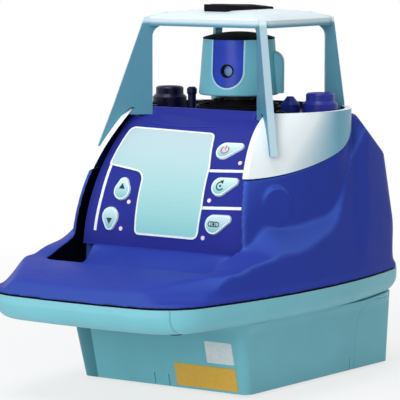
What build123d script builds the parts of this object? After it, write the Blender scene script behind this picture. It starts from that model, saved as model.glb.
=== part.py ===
from build123d import *
import os
from math import cos, hypot, radians, sin

# A rotary construction laser. Millimetres, +Z up, front towards -Y.
# The origin is the mouth of the tripod thread, on the axis of the spinning head.

# Walls and fits
WALL = 3.0
SKIN = 2.5
FIT = 0.3
RUN = 0.05
PRESS = 0.1

# Rim outline at the parting plane, right half, from the nose round to the tail
SPLIT_Z = 62.0
SEAL_THICK = 1.0
NOSE_REACH = 169.5
NOSE_FLAT = 46.0
NOSE_BOW = 2.0
NOSE_CORNER = (75.0, -142.0)
FLANK_END = (73.0, 66.0)
TAIL_CORNER = (39.2, 95.7)
TAIL_REACH = 97.8

# Lower housing: a drafted base that coves out into a shallow tray under the rim
BASE_Z = 1.5
BASE_HALF = 62.0
BASE_TOP_HALF = 64.6
BASE_FRONT = 79.5
BASE_TOP_FRONT = 91.0
BASE_REAR = 79.5
BASE_CORNER = 6.0
COVE_Z = 36.0
COVE_REACH = 12.0
TRAY_Z = 47.0
TRAY_ROUND = 10.0
TRAY_RISE = 11.0

# Upper housing: bead along the rim, tapered skirt under an arched top
BEAD_HIGH = 2.6
SKIRT_SET = 1.6
SKIRT_TOP_Z = 168.0
SKIRT_LEAN = 15.0
ARCH_HALF = 86.0
ARCH_FRONT = -140.0
ARCH_REAR = 112.0
ARCH_STEP = 9.0
ARCH_SAG = 1.0
# Height of the arch under the nose, and how it climbs and falls along Y: start, end, amount
ARCH_LOW_Z = 73.0
CROWN_STEPS = (
    (-138.0, -84.0, 22.0), (-93.0, -66.0, 32.0), (-66.0, 10.0, 12.0), (0.0, 48.0, 28.0), (50.0, 124.0, -70.0),
)
EDGE_STEPS = (
    (-138.0, -88.0, 9.0), (-93.0, -68.0, -4.0), (-60.0, -8.0, 6.0), (-14.0, 26.0, 44.0), (20.0, 56.0, 21.0),
    (56.0, 124.0, -55.0),
)
# Top of the nose in side view
NOSE_TOP = ((-180.0, 65.5), (-160.0, 72.5), (-140.0, 76.8), (-118.0, 79.2), (-90.0, 80.0))
# Bevel over each front corner of the nose: a point on it and the way it faces
BEVEL_AT = (66.0, 12.5 - NOSE_REACH, 60.5)
BEVEL_WAY = (0.573, -0.461, 0.677)

# Neck inside the skirt, plan section at three heights: Z, half width, front tip
NECK_LEVELS = (
    (63.0, 75.0, (65.5, -98.0)),
    (130.0, 73.0, (53.8, -90.0)),
    (168.0, 73.0, (41.0, -47.5)),
)
NECK_REAR = 62.0
COLLAR_THICK = 4.0
COLLAR_PROUD = 0.8
COLLAR_TOP_Z = 166.0
# Lower edge of the collar in side view, from the front tip to the back
COLLAR_EDGE = (
    (-110.0, 132.0), (-62.0, 130.0), (-14.0, 137.0), (12.0, 145.0), (34.0, 156.0), (70.0, 160.0),
)

# Deck that closes the neck
DECK_Z = 158.0
DECK_THICK = 3.5

# Control panel: part of a cylinder with a level axis; the wings beside it stand proud
PANEL_Y = 6.2
PANEL_Z = 87.3
WING_R = 92.7
PANEL_SET = 6.0
PANEL_THICK = 2.5
PANEL_LOW_Z = 84.0
PANEL_HIGH_Z = DECK_Z + DECK_THICK
LIP_HALF = 37.0
LIP_TOP_Z = 166.4
LIP_LEAN = 1.6
RECESS_DEEP = 13.0
SLOT = 3.2
OVERLAY_THICK = 0.5

# Nose ledge: pocket behind the nose, with a rounded apron below the panel
POCKET_HALF = 60.0
POCKET_FRONT = NOSE_REACH - 48.5
POCKET_Z = 71.0
POCKET_HIGH_Z = 130.0
POCKET_CORNER = 8.0
APRON_TOP_HALF = 52.0
APRON_TOP_FRONT = 82.0
APRON_LOW_HALF = 55.0
APRON_LOW_FRONT = 88.0
APRON_BULGE = 144.0

# Round pad moulded on each side of the neck
PAD_Y = -57.0
PAD_Z = 112.0
PAD_R = 12.0
PAD_PROUD = 1.4

# Keys: place on the panel as X and arc length up from the level of the panel axis
KEY_PROUD = 1.0
KEY_GAP = 0.25
KEY_FLANGE = 0.8
KEY_TRAVEL = 0.8
DOME_HIGH = 0.6
RIGHT_KEYS = {"key_power": (34.5, 62.0), "key_speed": (40.0, 38.0), "key_manual": (40.0, 15.0)}
LEFT_KEYS = {"key_up": (-34.0, 32.0, 1), "key_down": (-40.0, 13.0, -1)}
LAMPS = ((-27.4, 24.0), (-31.4, 7.5), (30.0, 6.0), (31.5, 28.5), (46.0, 53.5))
LAMP_R = 1.3
LAMP_DEEP = 1.5
LAMP_PROUD = 0.5
KEYS = ("key_power", "key_speed", "key_manual", "key_up", "key_down")
KEY_BACK = 0.6
KEY_RIM = 1.0
KEY_BEVEL = 0.35
DOME_R = 3.0
# Drop shapes, as X, Y and radius of the two ends, or distance from the middle and radius
RIGHT_BIG = (-3.0, -0.6, 6.0)
RIGHT_SMALL = (6.8, 3.0, 2.6)
LEFT_BIG = (1.3, 6.0)
LEFT_SMALL = (3.6, 3.6)
# Outline of the printed sheet, as X and arc length
OVERLAY_MIDDLE = 40.0
OVERLAY_ROUND = 2.4
OVERLAY_OUTLINE = (
    (-45.6, 76.2), (20.4, 74.2), (26.0, 50.0), (25.2, 44.0), (27.5, 24.0),
    (25.0, 4.5), (-20.8, 4.7), (-21.2, 37.0), (-26.0, 43.6), (-48.8, 46.8),
)

# Cage: four radial blades under a domed roof
ROOF_HALF_X = 46.5
ROOF_HALF_Y = 41.0
ROOF_CORNER = 12.0
ROOF_LOW_Z = 216.5
ROOF_EDGE_Z = 221.0
ROOF_TOP_Z = 226.0
ROOF_SHELL = 3.5
ROOF_STEPS = ((0.965, 0.2), (0.9, 0.46), (0.78, 0.72), (0.5, 1.0))
GUSSET = 7.0
BLADE_TOP_R = 59.0
BLADE_CREST_R = 44.0
BLADE_RISE = 4.0
BLADE_THICK = 4.5
BLADE_INNER = 54.0
FRONT_FOOT_R = 78.0
FRONT_FOOT_Z = 168.0
FRONT_TIP_R = 88.0
FRONT_TIP_Z = 142.0
REAR_FOOT_R = 66.0
TAB_X = 48.0
TAB_Y = 25.0
TAB_R = 4.6
TAB_THICK = 3.0
TAB_SCREW_R = 1.5
GRIP_LONG = 52.0
GRIP_WIDE = 18.0
GRIP_TOP_Z = 230.0

# On the deck: bellows round the neck of the laser unit, caps and studs
BELLOWS_IN = 21.5
BELLOWS_TOP_Z = 169.0
BELLOWS_FOLDS = 2
RING_IN = 28.5
RING_OUT = 32.0
RING_THICK = 2.0
CAP_X = 57.0
CAP_Y = 5.0
CAP_R = 10.8
CAP_TOP_R = 8.8
CAP_TOP_Z = 176.2
STUD_X = 38.4
STUD_R = 5.8
STUD_TOP_Z = 173.6
PEG_X = -36.0
PEG_R = 3.2
PEG_TOP_Z = 176.8

# Tilting laser unit in its gimbal
GIMBAL_Z = 140.0
GIMBAL_IN = 24.0
GIMBAL_OUT = 30.0
GIMBAL_HIGH = 8.0
PIN_R = 2.5
UPRIGHT_X = 44.0
UPRIGHT_THICK = 4.0
UPRIGHT_WIDE = 22.0
CHASSIS_Z = 66.0
CHASSIS_THICK = 2.5
CHASSIS_HALF_X = 52.0
CHASSIS_HALF_Y = 47.0
CHASSIS_POSTS = ((-46.0, -40.0), (46.0, -40.0), (-46.0, 40.0), (46.0, 40.0))
POST_R = 5.0
SLEEVE_R = 16.0
BEARING_R = 13.0
BEARING_HIGH = 6.0
SPINDLE_R = 9.0
SPINDLE_BORE = 6.0
SLEEVE_LOW_Z = 128.0
SLEEVE_TOP_Z = 170.5
PLATE_THICK = 4.0
TUBE_R = 12.0
TUBE_BORE = 9.0
TUBE_LOW_Z = 86.0
TUBE_TOP_Z = 112.0
PULLEY_R = 15.0
MOTOR_PULLEY_R = 5.0
BELT_THICK = 1.2
BELT_HIGH = 5.0
BELT_Z = 119.0
MOTOR_X = 27.0
MOTOR_R = 11.0
MOTOR_HIGH = 20.0
ARM_REACH = 33.0
ARM_WIDE = 10.0
SHELF_THICK = 3.0
SPINE_WIDE = 18.0
VIALS = ((0.0, -18.0), (-18.0, 0.0))
VIAL_R = 3.0
VIAL_LONG = 22.0
SHAFT_R = 1.5
BUSH_R = 4.5
SPINDLE_FLANGE = 2.0
BELT_LIP = 1.8
DIODE_LOW_Z = 79.0
DIODE_LONG = 20.0
LENS_THICK = 5.0
LENS_BULGE = 1.6
PLUNGER_R = 2.5
PLUNGER_GAP = 0.4
ACTUATOR_R = 9.0
ACTUATOR_HIGH = 32.0

# Spinning head
ROTOR_LOW_Z = 173.5
ROTOR_TOP_Z = 208.0
ROTOR_LOW_R = 25.0
ROTOR_TOP_R = 22.3
ROTOR_WALL = 2.0
ROTOR_FLOOR = 3.0
CAP_RISE = 4.5
CAP_RIM = 1.0
WINDOW_AZ = 16.5
WINDOW_WIDE = 20.0
WINDOW_LOW_Z = 178.5
PANE_THICK = 1.6
LENS_Z = 189.0
LENS_R = 4.2
BARREL_LONG = 6.0
BARREL_WALL = 0.8
PORT_AZ = WINDOW_AZ + 105.0
PORT_REACH = 28.0
PORT_WIDE = 15.0
PORT_LOW_Z = 174.6
PORT_TOP_Z = 200.4
PORT_ROUND = 7.0
PORT_EDGE = 1.5
PORT_HOLE_R = 3.0
PRISM = 12.0
ROTOR_ROUND = 1.2
PANE_SET = 0.3

# Base fittings and battery drawer
INSERT_R = 12.0
INSERT_FLANGE_R = 19.0
INSERT_HIGH = 24.0
THREAD_R = 6.75
THREAD_DEEP = 18.0
BOSS_R = 16.0
FOOT_END_Y = 67.0
FOOT_END = (24.6, 9.0)
FOOT_SIDE_X = 51.0
FOOT_SIDE_Y = -12.0
FOOT_SIDE = (9.0, 15.6)
FOOT_ROUND = 3.0
FOOT_SINK = 1.0
NOTCH_DEEP = 0.8
NOTCH_TOP_Z = 9.0
NOTCH_HALF = 0.4
NOTCH_X = 5.3
NOTCH_Y = 32.0
SEAM_Y = 37.0
SEAM_BEND_Z = 20.0
SEAM_TOP_Y = 53.0
SEAM_BOW = 3.0
BAY_TOP_Z = 44.5
BAY_CEILING = 2.0
BAY_FRONT = 54.0
CELL_R = 16.6
CELL_LONG = 61.5
CELL_X = 36.0
CELL_Z = 22.6
CELL_REAR = 74.5
CELL_NUB = 2.0
CELL_NUB_R = 4.7
CRADLE_THICK = 1.2
GASKET = 1.0
KNOB_R = 13.0
KNOB_THICK = 8.0
KNOB_Z = 21.0
STUD_BORE_R = 3.0
LATCH_FIT = 0.1
LATCH_Y = 50.0
LATCH_LONG = 12.0
LATCH_BOSS = 7.0

# Screws that close the housing: places, shank, boss; then the main board in the nose
SCREW_Y = 31.5 - NOSE_REACH
HOUSING_SCREWS = ((-52.0, SCREW_Y), (52.0, SCREW_Y), (-48.0, 62.0), (48.0, 62.0))
SCREW_R = 2.0
SCREW_BOSS_R = 5.0
SCREW_BITE = 9.0
BOARD_NEAR_Y = 57.5 - NOSE_REACH
BOARD_FAR_Y = 23.5 - NOSE_REACH
BOARD_POSTS = ((-40.0, BOARD_NEAR_Y), (40.0, BOARD_NEAR_Y), (-40.0, BOARD_FAR_Y), (40.0, BOARD_FAR_Y))
BOARD_POST_R = 3.0
BOARD_Z = 53.5
BOARD_THICK = 1.6
BOARD_CHIPS = (
    (-28.0, 12.0, 12.0, 1.8), (-6.0, 20.0, 20.0, 2.2), (18.0, 10.0, 16.0, 5.0), (34.0, 8.0, 24.0, 4.5),
)


def level(z, face):
    """A plan face placed at a height."""
    return Pos(0, 0, z) * face


def station(y):
    """Plane across the body at Y, with X to the right and Z up."""
    return Plane(origin=(0, y, 0), x_dir=(1, 0, 0), z_dir=(0, -1, 0))


def side_prism(curve, half):
    """Prism across the body from a closed outline in side view (Y, Z)."""
    return extrude(Plane.YZ * make_face(curve), amount=half, both=True)


def rim_outline(inset=0.0):
    front = TangentArc((0, -NOSE_REACH), (NOSE_FLAT, NOSE_BOW - NOSE_REACH), tangent=(1, 0))
    corner = TangentArc(front @ 1, NOSE_CORNER, tangent=front % 1)
    flank = TangentArc(corner @ 1, FLANK_END, tangent=corner % 1)
    tail = TangentArc(flank @ 1, TAIL_CORNER, tangent=flank % 1)
    back = TangentArc(tail @ 1, (0, TAIL_REACH), tangent=tail % 1)
    half = Curve() + [front, corner, flank, tail, back]
    face = make_face(half + mirror(half, Plane.YZ))
    return offset(face, amount=-inset) if inset else face


def base_section(z, grow=0.0):
    share = (z - BASE_Z) / (TRAY_Z - BASE_Z)
    half = BASE_HALF + share * (BASE_TOP_HALF - BASE_HALF) + grow
    front = BASE_FRONT + share * (BASE_TOP_FRONT - BASE_FRONT) + grow
    rear = BASE_REAR + grow
    return Pos(0, (rear - front) / 2, z) * RectangleRounded(2 * half, front + rear, BASE_CORNER + grow)


def base_body(z_low, z_high, grow=0.0):
    return loft([base_section(z_low, grow), base_section(z_high, grow)])


def cove_body():
    """Hollow sweep from the base wall out to the underside of the tray."""
    rise = TRAY_Z - COVE_Z
    sections = []
    for angle in (0, 30, 60, 85):
        z = COVE_Z + rise * sin(radians(angle))
        sections.append(base_section(z, COVE_REACH * (1 - cos(radians(angle)))))
    flare = loft(sections)
    return flare & extrude(level(COVE_Z, rim_outline(TRAY_ROUND / 2)), amount=rise)


def tray_body(inset=0.0, top=SPLIT_Z):
    """Tray under the rim, its lower edge rounded by a quarter ellipse."""
    sections = []
    for angle in (0, 35, 65, 90):
        z = TRAY_Z + TRAY_RISE * (1 - cos(radians(angle)))
        sections.append(level(z + inset, rim_outline(TRAY_ROUND * (1 - sin(radians(angle))) + inset)))
    bowl = loft(sections)
    rim_z = TRAY_Z + TRAY_RISE + inset
    return bowl + extrude(level(rim_z, rim_outline(inset)), amount=top - rim_z)


def eased(y, steps):
    """Height after a row of smooth climbs and falls."""
    height = ARCH_LOW_Z
    for start, end, amount in steps:
        share = min(max((y - start) / (end - start), 0.0), 1.0)
        height += amount * share * share * (3 - 2 * share)
    return height


def arch_body(drop=0.0):
    """Solid under the arched top of the upper housing."""
    faces = []
    floor = SPLIT_Z - 10
    count = round((ARCH_REAR - ARCH_FRONT) / ARCH_STEP)
    for index in range(count + 1):
        y = ARCH_FRONT + (ARCH_REAR - ARCH_FRONT) * index / count
        crown = eased(y, CROWN_STEPS) - drop
        edge = eased(y, EDGE_STEPS) - drop - ARCH_SAG
        top = ThreePointArc((-ARCH_HALF, edge), (0, crown), (ARCH_HALF, edge))
        sides = Polyline((ARCH_HALF, edge), (ARCH_HALF, floor), (-ARCH_HALF, floor), (-ARCH_HALF, edge))
        faces.append(station(y) * make_face(top + sides))
    return loft(faces)


def nose_body(drop=0.0):
    top = Spline(*[(y, z - drop) for y, z in NOSE_TOP])
    floor = SPLIT_Z - 10
    first, last = NOSE_TOP[0], NOSE_TOP[-1]
    ends = ((last[0], last[1] - drop), (last[0], floor), (first[0], floor), (first[0], first[1] - drop))
    return side_prism(top + Polyline(*ends), ARCH_HALF)


def corner_bevel(side, drop=0.0):
    """Everything outside the bevel over one front corner of the nose."""
    place = (side * BEVEL_AT[0], BEVEL_AT[1], BEVEL_AT[2])
    plane = Plane(origin=place, z_dir=(side * BEVEL_WAY[0], BEVEL_WAY[1], BEVEL_WAY[2])).offset(-drop)
    return extrude(plane * Rectangle(4 * ARCH_HALF, 4 * ARCH_HALF), amount=ARCH_HALF)


def skirt_body(inset=0.0, drop=0.0):
    bottom = SPLIT_Z + SEAL_THICK
    low = level(bottom, rim_outline(SKIRT_SET + inset))
    high = level(SKIRT_TOP_Z, rim_outline(SKIRT_SET + SKIRT_LEAN + inset))
    body = loft([low, high]) & (arch_body(drop) + nose_body(drop))
    return body - corner_bevel(1, drop) - corner_bevel(-1, drop)


def neck_section(half, tip, inset):
    """Plan of the neck: half an ellipse at the back, two arcs that close in towards the front."""
    side = half - inset
    end = (tip[0] - inset, tip[1])
    rear = EllipticalCenterArc((0, 0), side, NECK_REAR - inset, start_angle=0, arc_size=180)
    right = TangentArc((side, 0), end, tangent=(0, -1))
    front = Line(end, (-end[0], end[1]))
    return make_face(Curve() + [rear, right, front, mirror(right, Plane.YZ)])


def neck_body(inset=0.0):
    return loft([level(z, neck_section(half, tip, inset)) for z, half, tip in NECK_LEVELS])


def behind_arc(radius):
    """Everything behind a level cylinder about the panel axis."""
    face = Pos(PANEL_Y, PANEL_Z) * Circle(radius)
    rear = Pos(PANEL_Y + 2 * radius, PANEL_Z) * Rectangle(4 * radius, 4 * radius)
    below = Pos(PANEL_Y, PANEL_Z - radius) * Rectangle(2 * radius, 2 * radius)
    return extrude(Plane.YZ * (face + rear + below), amount=2 * ARCH_HALF, both=True)


def above_collar_edge(shift=0.0):
    edge = Spline(*[(y, z + shift) for y, z in COLLAR_EDGE])
    first, last = COLLAR_EDGE[0], COLLAR_EDGE[-1]
    top = COLLAR_TOP_Z + 20
    ends = ((last[0], last[1] + shift), (last[0], top), (first[0], top), (first[0], first[1] + shift))
    return side_prism(edge + Polyline(*ends), 2 * ARCH_HALF)


def slab(z_low, z_high):
    """Everything between two heights."""
    return Pos(0, 0, (z_low + z_high) / 2) * Box(8 * ARCH_HALF, 8 * ARCH_HALF, z_high - z_low)


def post(x, y, radius, z_low, z_high):
    """Upright cylinder."""
    return Pos(x, y, (z_low + z_high) / 2) * Cylinder(radius, z_high - z_low)


def tube(outer, inner, z_low, z_high):
    """Upright ring on the head axis."""
    return post(0, 0, outer, z_low, z_high) - post(0, 0, inner, z_low, z_high)


def block(x_low, x_high, y_low, y_high, z_low, z_high):
    place = Pos((x_low + x_high) / 2, (y_low + y_high) / 2, (z_low + z_high) / 2)
    return place * Box(x_high - x_low, y_high - y_low, z_high - z_low)


def rod(start, end, radius):
    """Round bar between two points."""
    direction = Vector(*end) - Vector(*start)
    return extrude(Plane(origin=start, z_dir=direction) * Circle(radius), amount=direction.length)


def turned(points):
    """Solid of revolution about the head axis from a closed outline of (radius, Z)."""
    return revolve(Plane.XZ * make_face(Polyline(*points, close=True)), Axis.Z)


def screw(x, y, head_z, down, shank_r, length):
    """Pan-head screw with a hexagon socket; down is -1 when the shank points down."""
    head_r = 1.9 * shank_r
    head_high = 1.2 * shank_r
    ends = sorted((head_z, head_z - down * head_high))
    tips = sorted((head_z, head_z + down * length))
    socket_z = head_z - down * head_high / 2
    sides = sorted((socket_z, head_z - 2 * down * head_high))
    socket = extrude(Pos(x, y, sides[0]) * RegularPolygon(0.9 * shank_r, 6), amount=sides[1] - sides[0])
    return post(x, y, head_r, *ends) + post(x, y, shank_r, *tips) - socket


def neck_half_at(y, z):
    """Half width of the neck and its turn in plan at a place on its side."""
    lower, upper = NECK_LEVELS[0], NECK_LEVELS[1]
    share = (z - lower[0]) / (upper[0] - lower[0])
    half = lower[1] + share * (upper[1] - lower[1])
    tip_x = lower[2][0] + share * (upper[2][0] - lower[2][0])
    tip_y = lower[2][1] + share * (upper[2][1] - lower[2][1])
    close = half - tip_x
    bend = (tip_y ** 2 + close ** 2) / (2 * close)
    return half - bend + (bend ** 2 - y ** 2) ** 0.5, -y / bend


def side_pad(side):
    wall, turn = neck_half_at(PAD_Y, PAD_Z)
    face = Plane(origin=(side * (wall - COLLAR_PROUD), PAD_Y, PAD_Z), z_dir=(side, -turn, 0))
    disc = extrude(face * Circle(PAD_R), amount=PAD_PROUD, taper=20)
    return disc + extrude(face * Circle(PAD_R), amount=-WALL)


def pocket_body():
    rear = APRON_TOP_FRONT - RECESS_DEEP
    deep = POCKET_FRONT - rear
    plan = Pos(0, -rear - deep / 2) * RectangleRounded(2 * POCKET_HALF, deep, POCKET_CORNER)
    high = PANEL_LOW_Z + 3 * WALL - POCKET_Z
    under = extrude(level(POCKET_Z, plan), amount=high) - behind_arc(WING_R - RECESS_DEEP)
    before = extrude(level(POCKET_Z, plan), amount=POCKET_HIGH_Z - POCKET_Z) - behind_arc(WING_R)
    return under + before


def recess_body():
    room = neck_body(COLLAR_THICK + FIT) & slab(POCKET_Z, COLLAR_TOP_Z + COLLAR_THICK)
    return room - behind_arc(WING_R - RECESS_DEEP)


def apron_body():
    """Rounded skirt that slopes from the foot of the panel down to the nose."""
    sections = []
    for z, half, front, bulge in (
        (POCKET_Z - WALL, APRON_LOW_HALF, APRON_LOW_FRONT, APRON_BULGE),
        (PANEL_LOW_Z, APRON_TOP_HALF, APRON_TOP_FRONT, APRON_TOP_FRONT + 1.0),
    ):
        rear = -(APRON_TOP_FRONT - RECESS_DEEP)
        arc = ThreePointArc((-half, -front), (0, -bulge), (half, -front))
        sides = Polyline((half, -front), (half, rear), (-half, rear), (-half, -front))
        sections.append(level(z, make_face(arc + sides)))
    reach = block(-POCKET_HALF, POCKET_HALF, -POCKET_FRONT - WALL, 0, POCKET_Z - WALL, PANEL_LOW_Z)
    return loft(sections) & reach


def boss_rib(x, y):
    """Screw boss under the upper housing with a rib out to the side wall."""
    side = 1 if x > 0 else -1
    bottom = SPLIT_Z + SEAL_THICK
    reach = sorted((x, side * ARCH_HALF))
    rib = block(reach[0], reach[1], y - WALL / 2, y + WALL / 2, bottom, bottom + 2 * SCREW_BITE)
    return rib + post(x, y, SCREW_BOSS_R, bottom, bottom + 2 * SCREW_BITE)


def upper_housing():
    bottom = SPLIT_Z + SEAL_THICK
    bead = loft([level(bottom, rim_outline()), level(bottom + BEAD_HIGH, rim_outline(SKIRT_SET / 2))])
    skirt = skirt_body()
    wings = (neck_body(COLLAR_PROUD) - above_collar_edge()) & behind_arc(WING_R) & slab(bottom, DECK_Z)
    core = neck_body(COLLAR_THICK + PRESS) & behind_arc(WING_R - RECESS_DEEP) & slab(bottom, DECK_Z)
    pads = side_pad(1) + side_pad(-1)
    outer = skirt + bead + wings + pads - (neck_body(-FIT) & above_collar_edge(-FIT))
    outer = outer - (neck_body(COLLAR_THICK) & slab(DECK_Z, SKIRT_TOP_Z)) + core
    outer = outer - recess_body() - pocket_body()
    outer = outer + apron_body()
    keep_half = POCKET_HALF + 2 * WALL
    keep = block(-keep_half, keep_half, -POCKET_FRONT - WALL, ARCH_HALF, POCKET_Z - WALL, SKIRT_TOP_Z)
    keep = keep - behind_arc(WING_R - RECESS_DEEP - WALL)
    bosses = Part()
    for x, y in HOUSING_SCREWS:
        bosses += boss_rib(x, y)
    cavity = skirt_body(WALL, WALL) + neck_body(COLLAR_THICK + PRESS + WALL)
    cavity = cavity - keep - (bosses & skirt)
    shell = outer - cavity
    for x, y in HOUSING_SCREWS:
        shell -= post(x, y, SCREW_R, bottom - WALL, bottom + SCREW_BITE)
    return shell


def collar():
    ring = neck_body() & above_collar_edge() & behind_arc(WING_R) & slab(SPLIT_Z, COLLAR_TOP_Z)
    return ring - neck_body(COLLAR_THICK)


def drawer_region(gap=0.0):
    """Everything behind the seam of the battery drawer, in side view."""
    y = SEAM_Y + gap
    top = BAY_TOP_Z - gap
    end = (SEAM_TOP_Y + gap, top)
    middle = (y + SEAM_BOW, (SEAM_BEND_Z + top) / 2 + SEAM_BOW)
    bend = ThreePointArc((y, SEAM_BEND_Z), middle, end)
    far = SEAM_Y + 2 * BASE_REAR
    rest = Polyline(end, (far, top), (far, -BASE_REAR), (y, -BASE_REAR), (y, SEAM_BEND_Z))
    return side_prism(bend + rest, 2 * ARCH_HALF)


def base_room(z_low, z_high, y_low, y_high):
    """Space inside the base walls."""
    return base_body(z_low, z_high, -WALL) & block(-ARCH_HALF, ARCH_HALF, y_low, y_high, z_low, z_high)


def lower_housing():
    ceiling = BAY_TOP_Z + BAY_CEILING
    body = base_body(BASE_Z, TRAY_Z) + cove_body() + tray_body()
    floor = BASE_Z + SKIN
    body -= base_room(floor, BAY_TOP_Z, -BAY_FRONT, 2 * BASE_REAR)
    body -= base_room(floor, BAY_TOP_Z, -2 * BASE_FRONT, -BAY_FRONT - WALL)
    body -= base_body(ceiling, TRAY_Z + 2 * WALL, -WALL)
    body -= tray_body(WALL, SPLIT_Z + WALL)
    body -= drawer_region()
    body += post(0, 0, BOSS_R, BASE_Z, INSERT_HIGH + SKIN)
    body -= post(0, 0, INSERT_R + PRESS, 0, INSERT_HIGH)
    body += block(-LATCH_BOSS, LATCH_BOSS, LATCH_Y, LATCH_Y + LATCH_LONG, KNOB_Z - LATCH_BOSS, ceiling)
    body -= rod((0, LATCH_Y - WALL, KNOB_Z), (0, BASE_REAR, KNOB_Z), STUD_BORE_R + LATCH_FIT)
    for x, y in CHASSIS_POSTS:
        body += post(x, y, POST_R, BAY_TOP_Z, CHASSIS_Z)
    for x, y in HOUSING_SCREWS:
        foot = seat_z(y)
        body += post(x, y, SCREW_BOSS_R, foot, SPLIT_Z)
        body -= post(x, y, SCREW_R + FIT, foot - WALL, SPLIT_Z + WALL)
    for x, y in BOARD_POSTS:
        body += post(x, y, BOARD_POST_R, TRAY_Z, BOARD_Z)
    return body - base_feet() - notches()


def seat_z(y):
    """Height of the screw seat: under the nose, or in the roof of the battery bay."""
    return TRAY_Z if y < -BASE_TOP_FRONT else BAY_TOP_Z


def drawer_wall(depth):
    """Space inside the drawer walls at a depth below their outer face."""
    return base_body(BASE_Z + depth, TRAY_Z, -depth)


def battery_cover():
    body = (base_body(BASE_Z, TRAY_Z) + cove_body()) & drawer_region(FIT)
    body -= base_room(BASE_Z + SKIN, TRAY_Z, -BASE_FRONT, BASE_REAR - WALL)
    body -= rod((0, 0, KNOB_Z), (0, 2 * BASE_REAR, KNOB_Z), STUD_BORE_R + LATCH_FIT)
    return body - cover_gasket() - cover_feet()


def cover_gasket():
    """Sealing cord in a groove round the open edge of the cover."""
    band = drawer_wall(WALL / 3) - drawer_wall(2 * WALL / 3)
    return band & (drawer_region(RUN) - drawer_region(FIT + GASKET))


def battery_cells():
    cells = []
    for x in (-CELL_X, CELL_X):
        for start in (CELL_REAR - 2 * CELL_LONG - RUN, CELL_REAR - CELL_LONG):
            nub = start + CELL_LONG - CELL_NUB
            body = rod((x, start, CELL_Z), (x, nub, CELL_Z), CELL_R)
            cells.append(body + rod((x, nub, CELL_Z), (x, start + CELL_LONG, CELL_Z), CELL_NUB_R))
    return Compound(children=cells)


def battery_cradle():
    """Two troughs for the cells with end walls, joined by a bridge on the floor of the cover."""
    front = CELL_REAR - 2 * CELL_LONG - 2 * RUN
    rear = BASE_REAR - WALL
    low = BASE_Z + SKIN
    body = block(-CELL_X, CELL_X, SEAM_Y + WALL, rear, low, low + CRADLE_THICK)
    room = Part()
    for x in (-CELL_X, CELL_X):
        trough = rod((x, front, CELL_Z), (x, CELL_REAR, CELL_Z), CELL_R + FIT + CRADLE_THICK)
        body += trough & slab(low, CELL_Z)
        body += block(x - 2 * CELL_NUB_R, x + 2 * CELL_NUB_R, CELL_REAR, rear, low, CELL_Z + CELL_NUB_R)
        room += rod((x, front - WALL, CELL_Z), (x, CELL_REAR, CELL_Z), CELL_R + FIT)
    return body - room


def battery_contacts():
    pads = []
    front = CELL_REAR - 2 * CELL_LONG - 2 * RUN - FIT
    for x in (-CELL_X, CELL_X):
        half = 2 * CELL_NUB_R
        seat = -BAY_FRONT + CRADLE_THICK
        plate = block(x - half, x + half, -BAY_FRONT, seat, CELL_Z - 1.3 * half, CELL_Z + 1.3 * half)
        wide = Plane(origin=(x, seat, CELL_Z), z_dir=(0, 1, 0))
        cone = extrude(wide * Circle(half), amount=front - seat, taper=35)
        pads.append(plate + cone)
    return Compound(children=pads)


def latch_knob():
    face = Plane(origin=(0, BASE_REAR + FIT, KNOB_Z), z_dir=(0, 1, 0))
    disc = extrude(face * Circle(KNOB_R), amount=KNOB_THICK)
    flutes = [loc * Circle(KNOB_R / 6) for loc in PolarLocations(KNOB_R + 0.5, 10)]
    bore = rod((0, BASE_REAR, KNOB_Z), (0, BASE_REAR + FIT + KNOB_THICK - WALL, KNOB_Z), STUD_BORE_R)
    return disc - extrude(face * Sketch(children=flutes), amount=KNOB_THICK) - bore


def latch_stud():
    end = BASE_REAR + FIT + KNOB_THICK - WALL
    return rod((0, LATCH_Y + RUN, KNOB_Z), (0, end, KNOB_Z), STUD_BORE_R)


def tripod_insert():
    flange = post(0, 0, INSERT_FLANGE_R, 0, BASE_Z)
    return flange + post(0, 0, INSERT_R, BASE_Z, INSERT_HIGH) - post(0, 0, THREAD_R, 0, THREAD_DEEP)


def foot(x, y, size):
    plan = Pos(x, y) * RectangleRounded(*size, FOOT_ROUND)
    return extrude(plan, amount=BASE_Z + FOOT_SINK)


def base_feet():
    """Pads in the middle of the front and of both sides."""
    pads = [foot(0, -FOOT_END_Y, FOOT_END)]
    pads += [foot(x, FOOT_SIDE_Y, FOOT_SIDE) for x in (-FOOT_SIDE_X, FOOT_SIDE_X)]
    return Compound(children=pads)


def cover_feet():
    return foot(0, FOOT_END_Y, FOOT_END)


def notches():
    """Short upright slots in the foot of the front wall and of the side walls."""
    skin = base_body(BASE_Z, NOTCH_TOP_Z) - base_body(BASE_Z, NOTCH_TOP_Z, -NOTCH_DEEP)
    slots = Part()
    for x in (-NOTCH_X, NOTCH_X):
        slots += block(x - NOTCH_HALF, x + NOTCH_HALF, -2 * BASE_FRONT, 0, BASE_Z, NOTCH_TOP_Z)
    slots += block(-ARCH_HALF, ARCH_HALF, NOTCH_Y - NOTCH_HALF, NOTCH_Y + NOTCH_HALF, BASE_Z, NOTCH_TOP_Z)
    return skin & slots


def housing_seal():
    ring = rim_outline(SEAL_THICK) - rim_outline(WALL)
    return extrude(level(SPLIT_Z, ring), amount=SEAL_THICK)


def main_board():
    xs = [x for x, y in BOARD_POSTS]
    ys = [y for x, y in BOARD_POSTS]
    x_low, x_high = min(xs) - BOARD_POST_R, max(xs) + BOARD_POST_R
    y_low, y_high = min(ys) - BOARD_POST_R, max(ys) + BOARD_POST_R
    top = BOARD_Z + BOARD_THICK
    board = block(x_low, x_high, y_low, y_high, BOARD_Z, top)
    mid = (y_low + y_high) / 2
    for x, wide, deep, high in BOARD_CHIPS:
        board += block(x - wide / 2, x + wide / 2, mid - deep / 2, mid + deep / 2, top, top + high)
    return board


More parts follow.
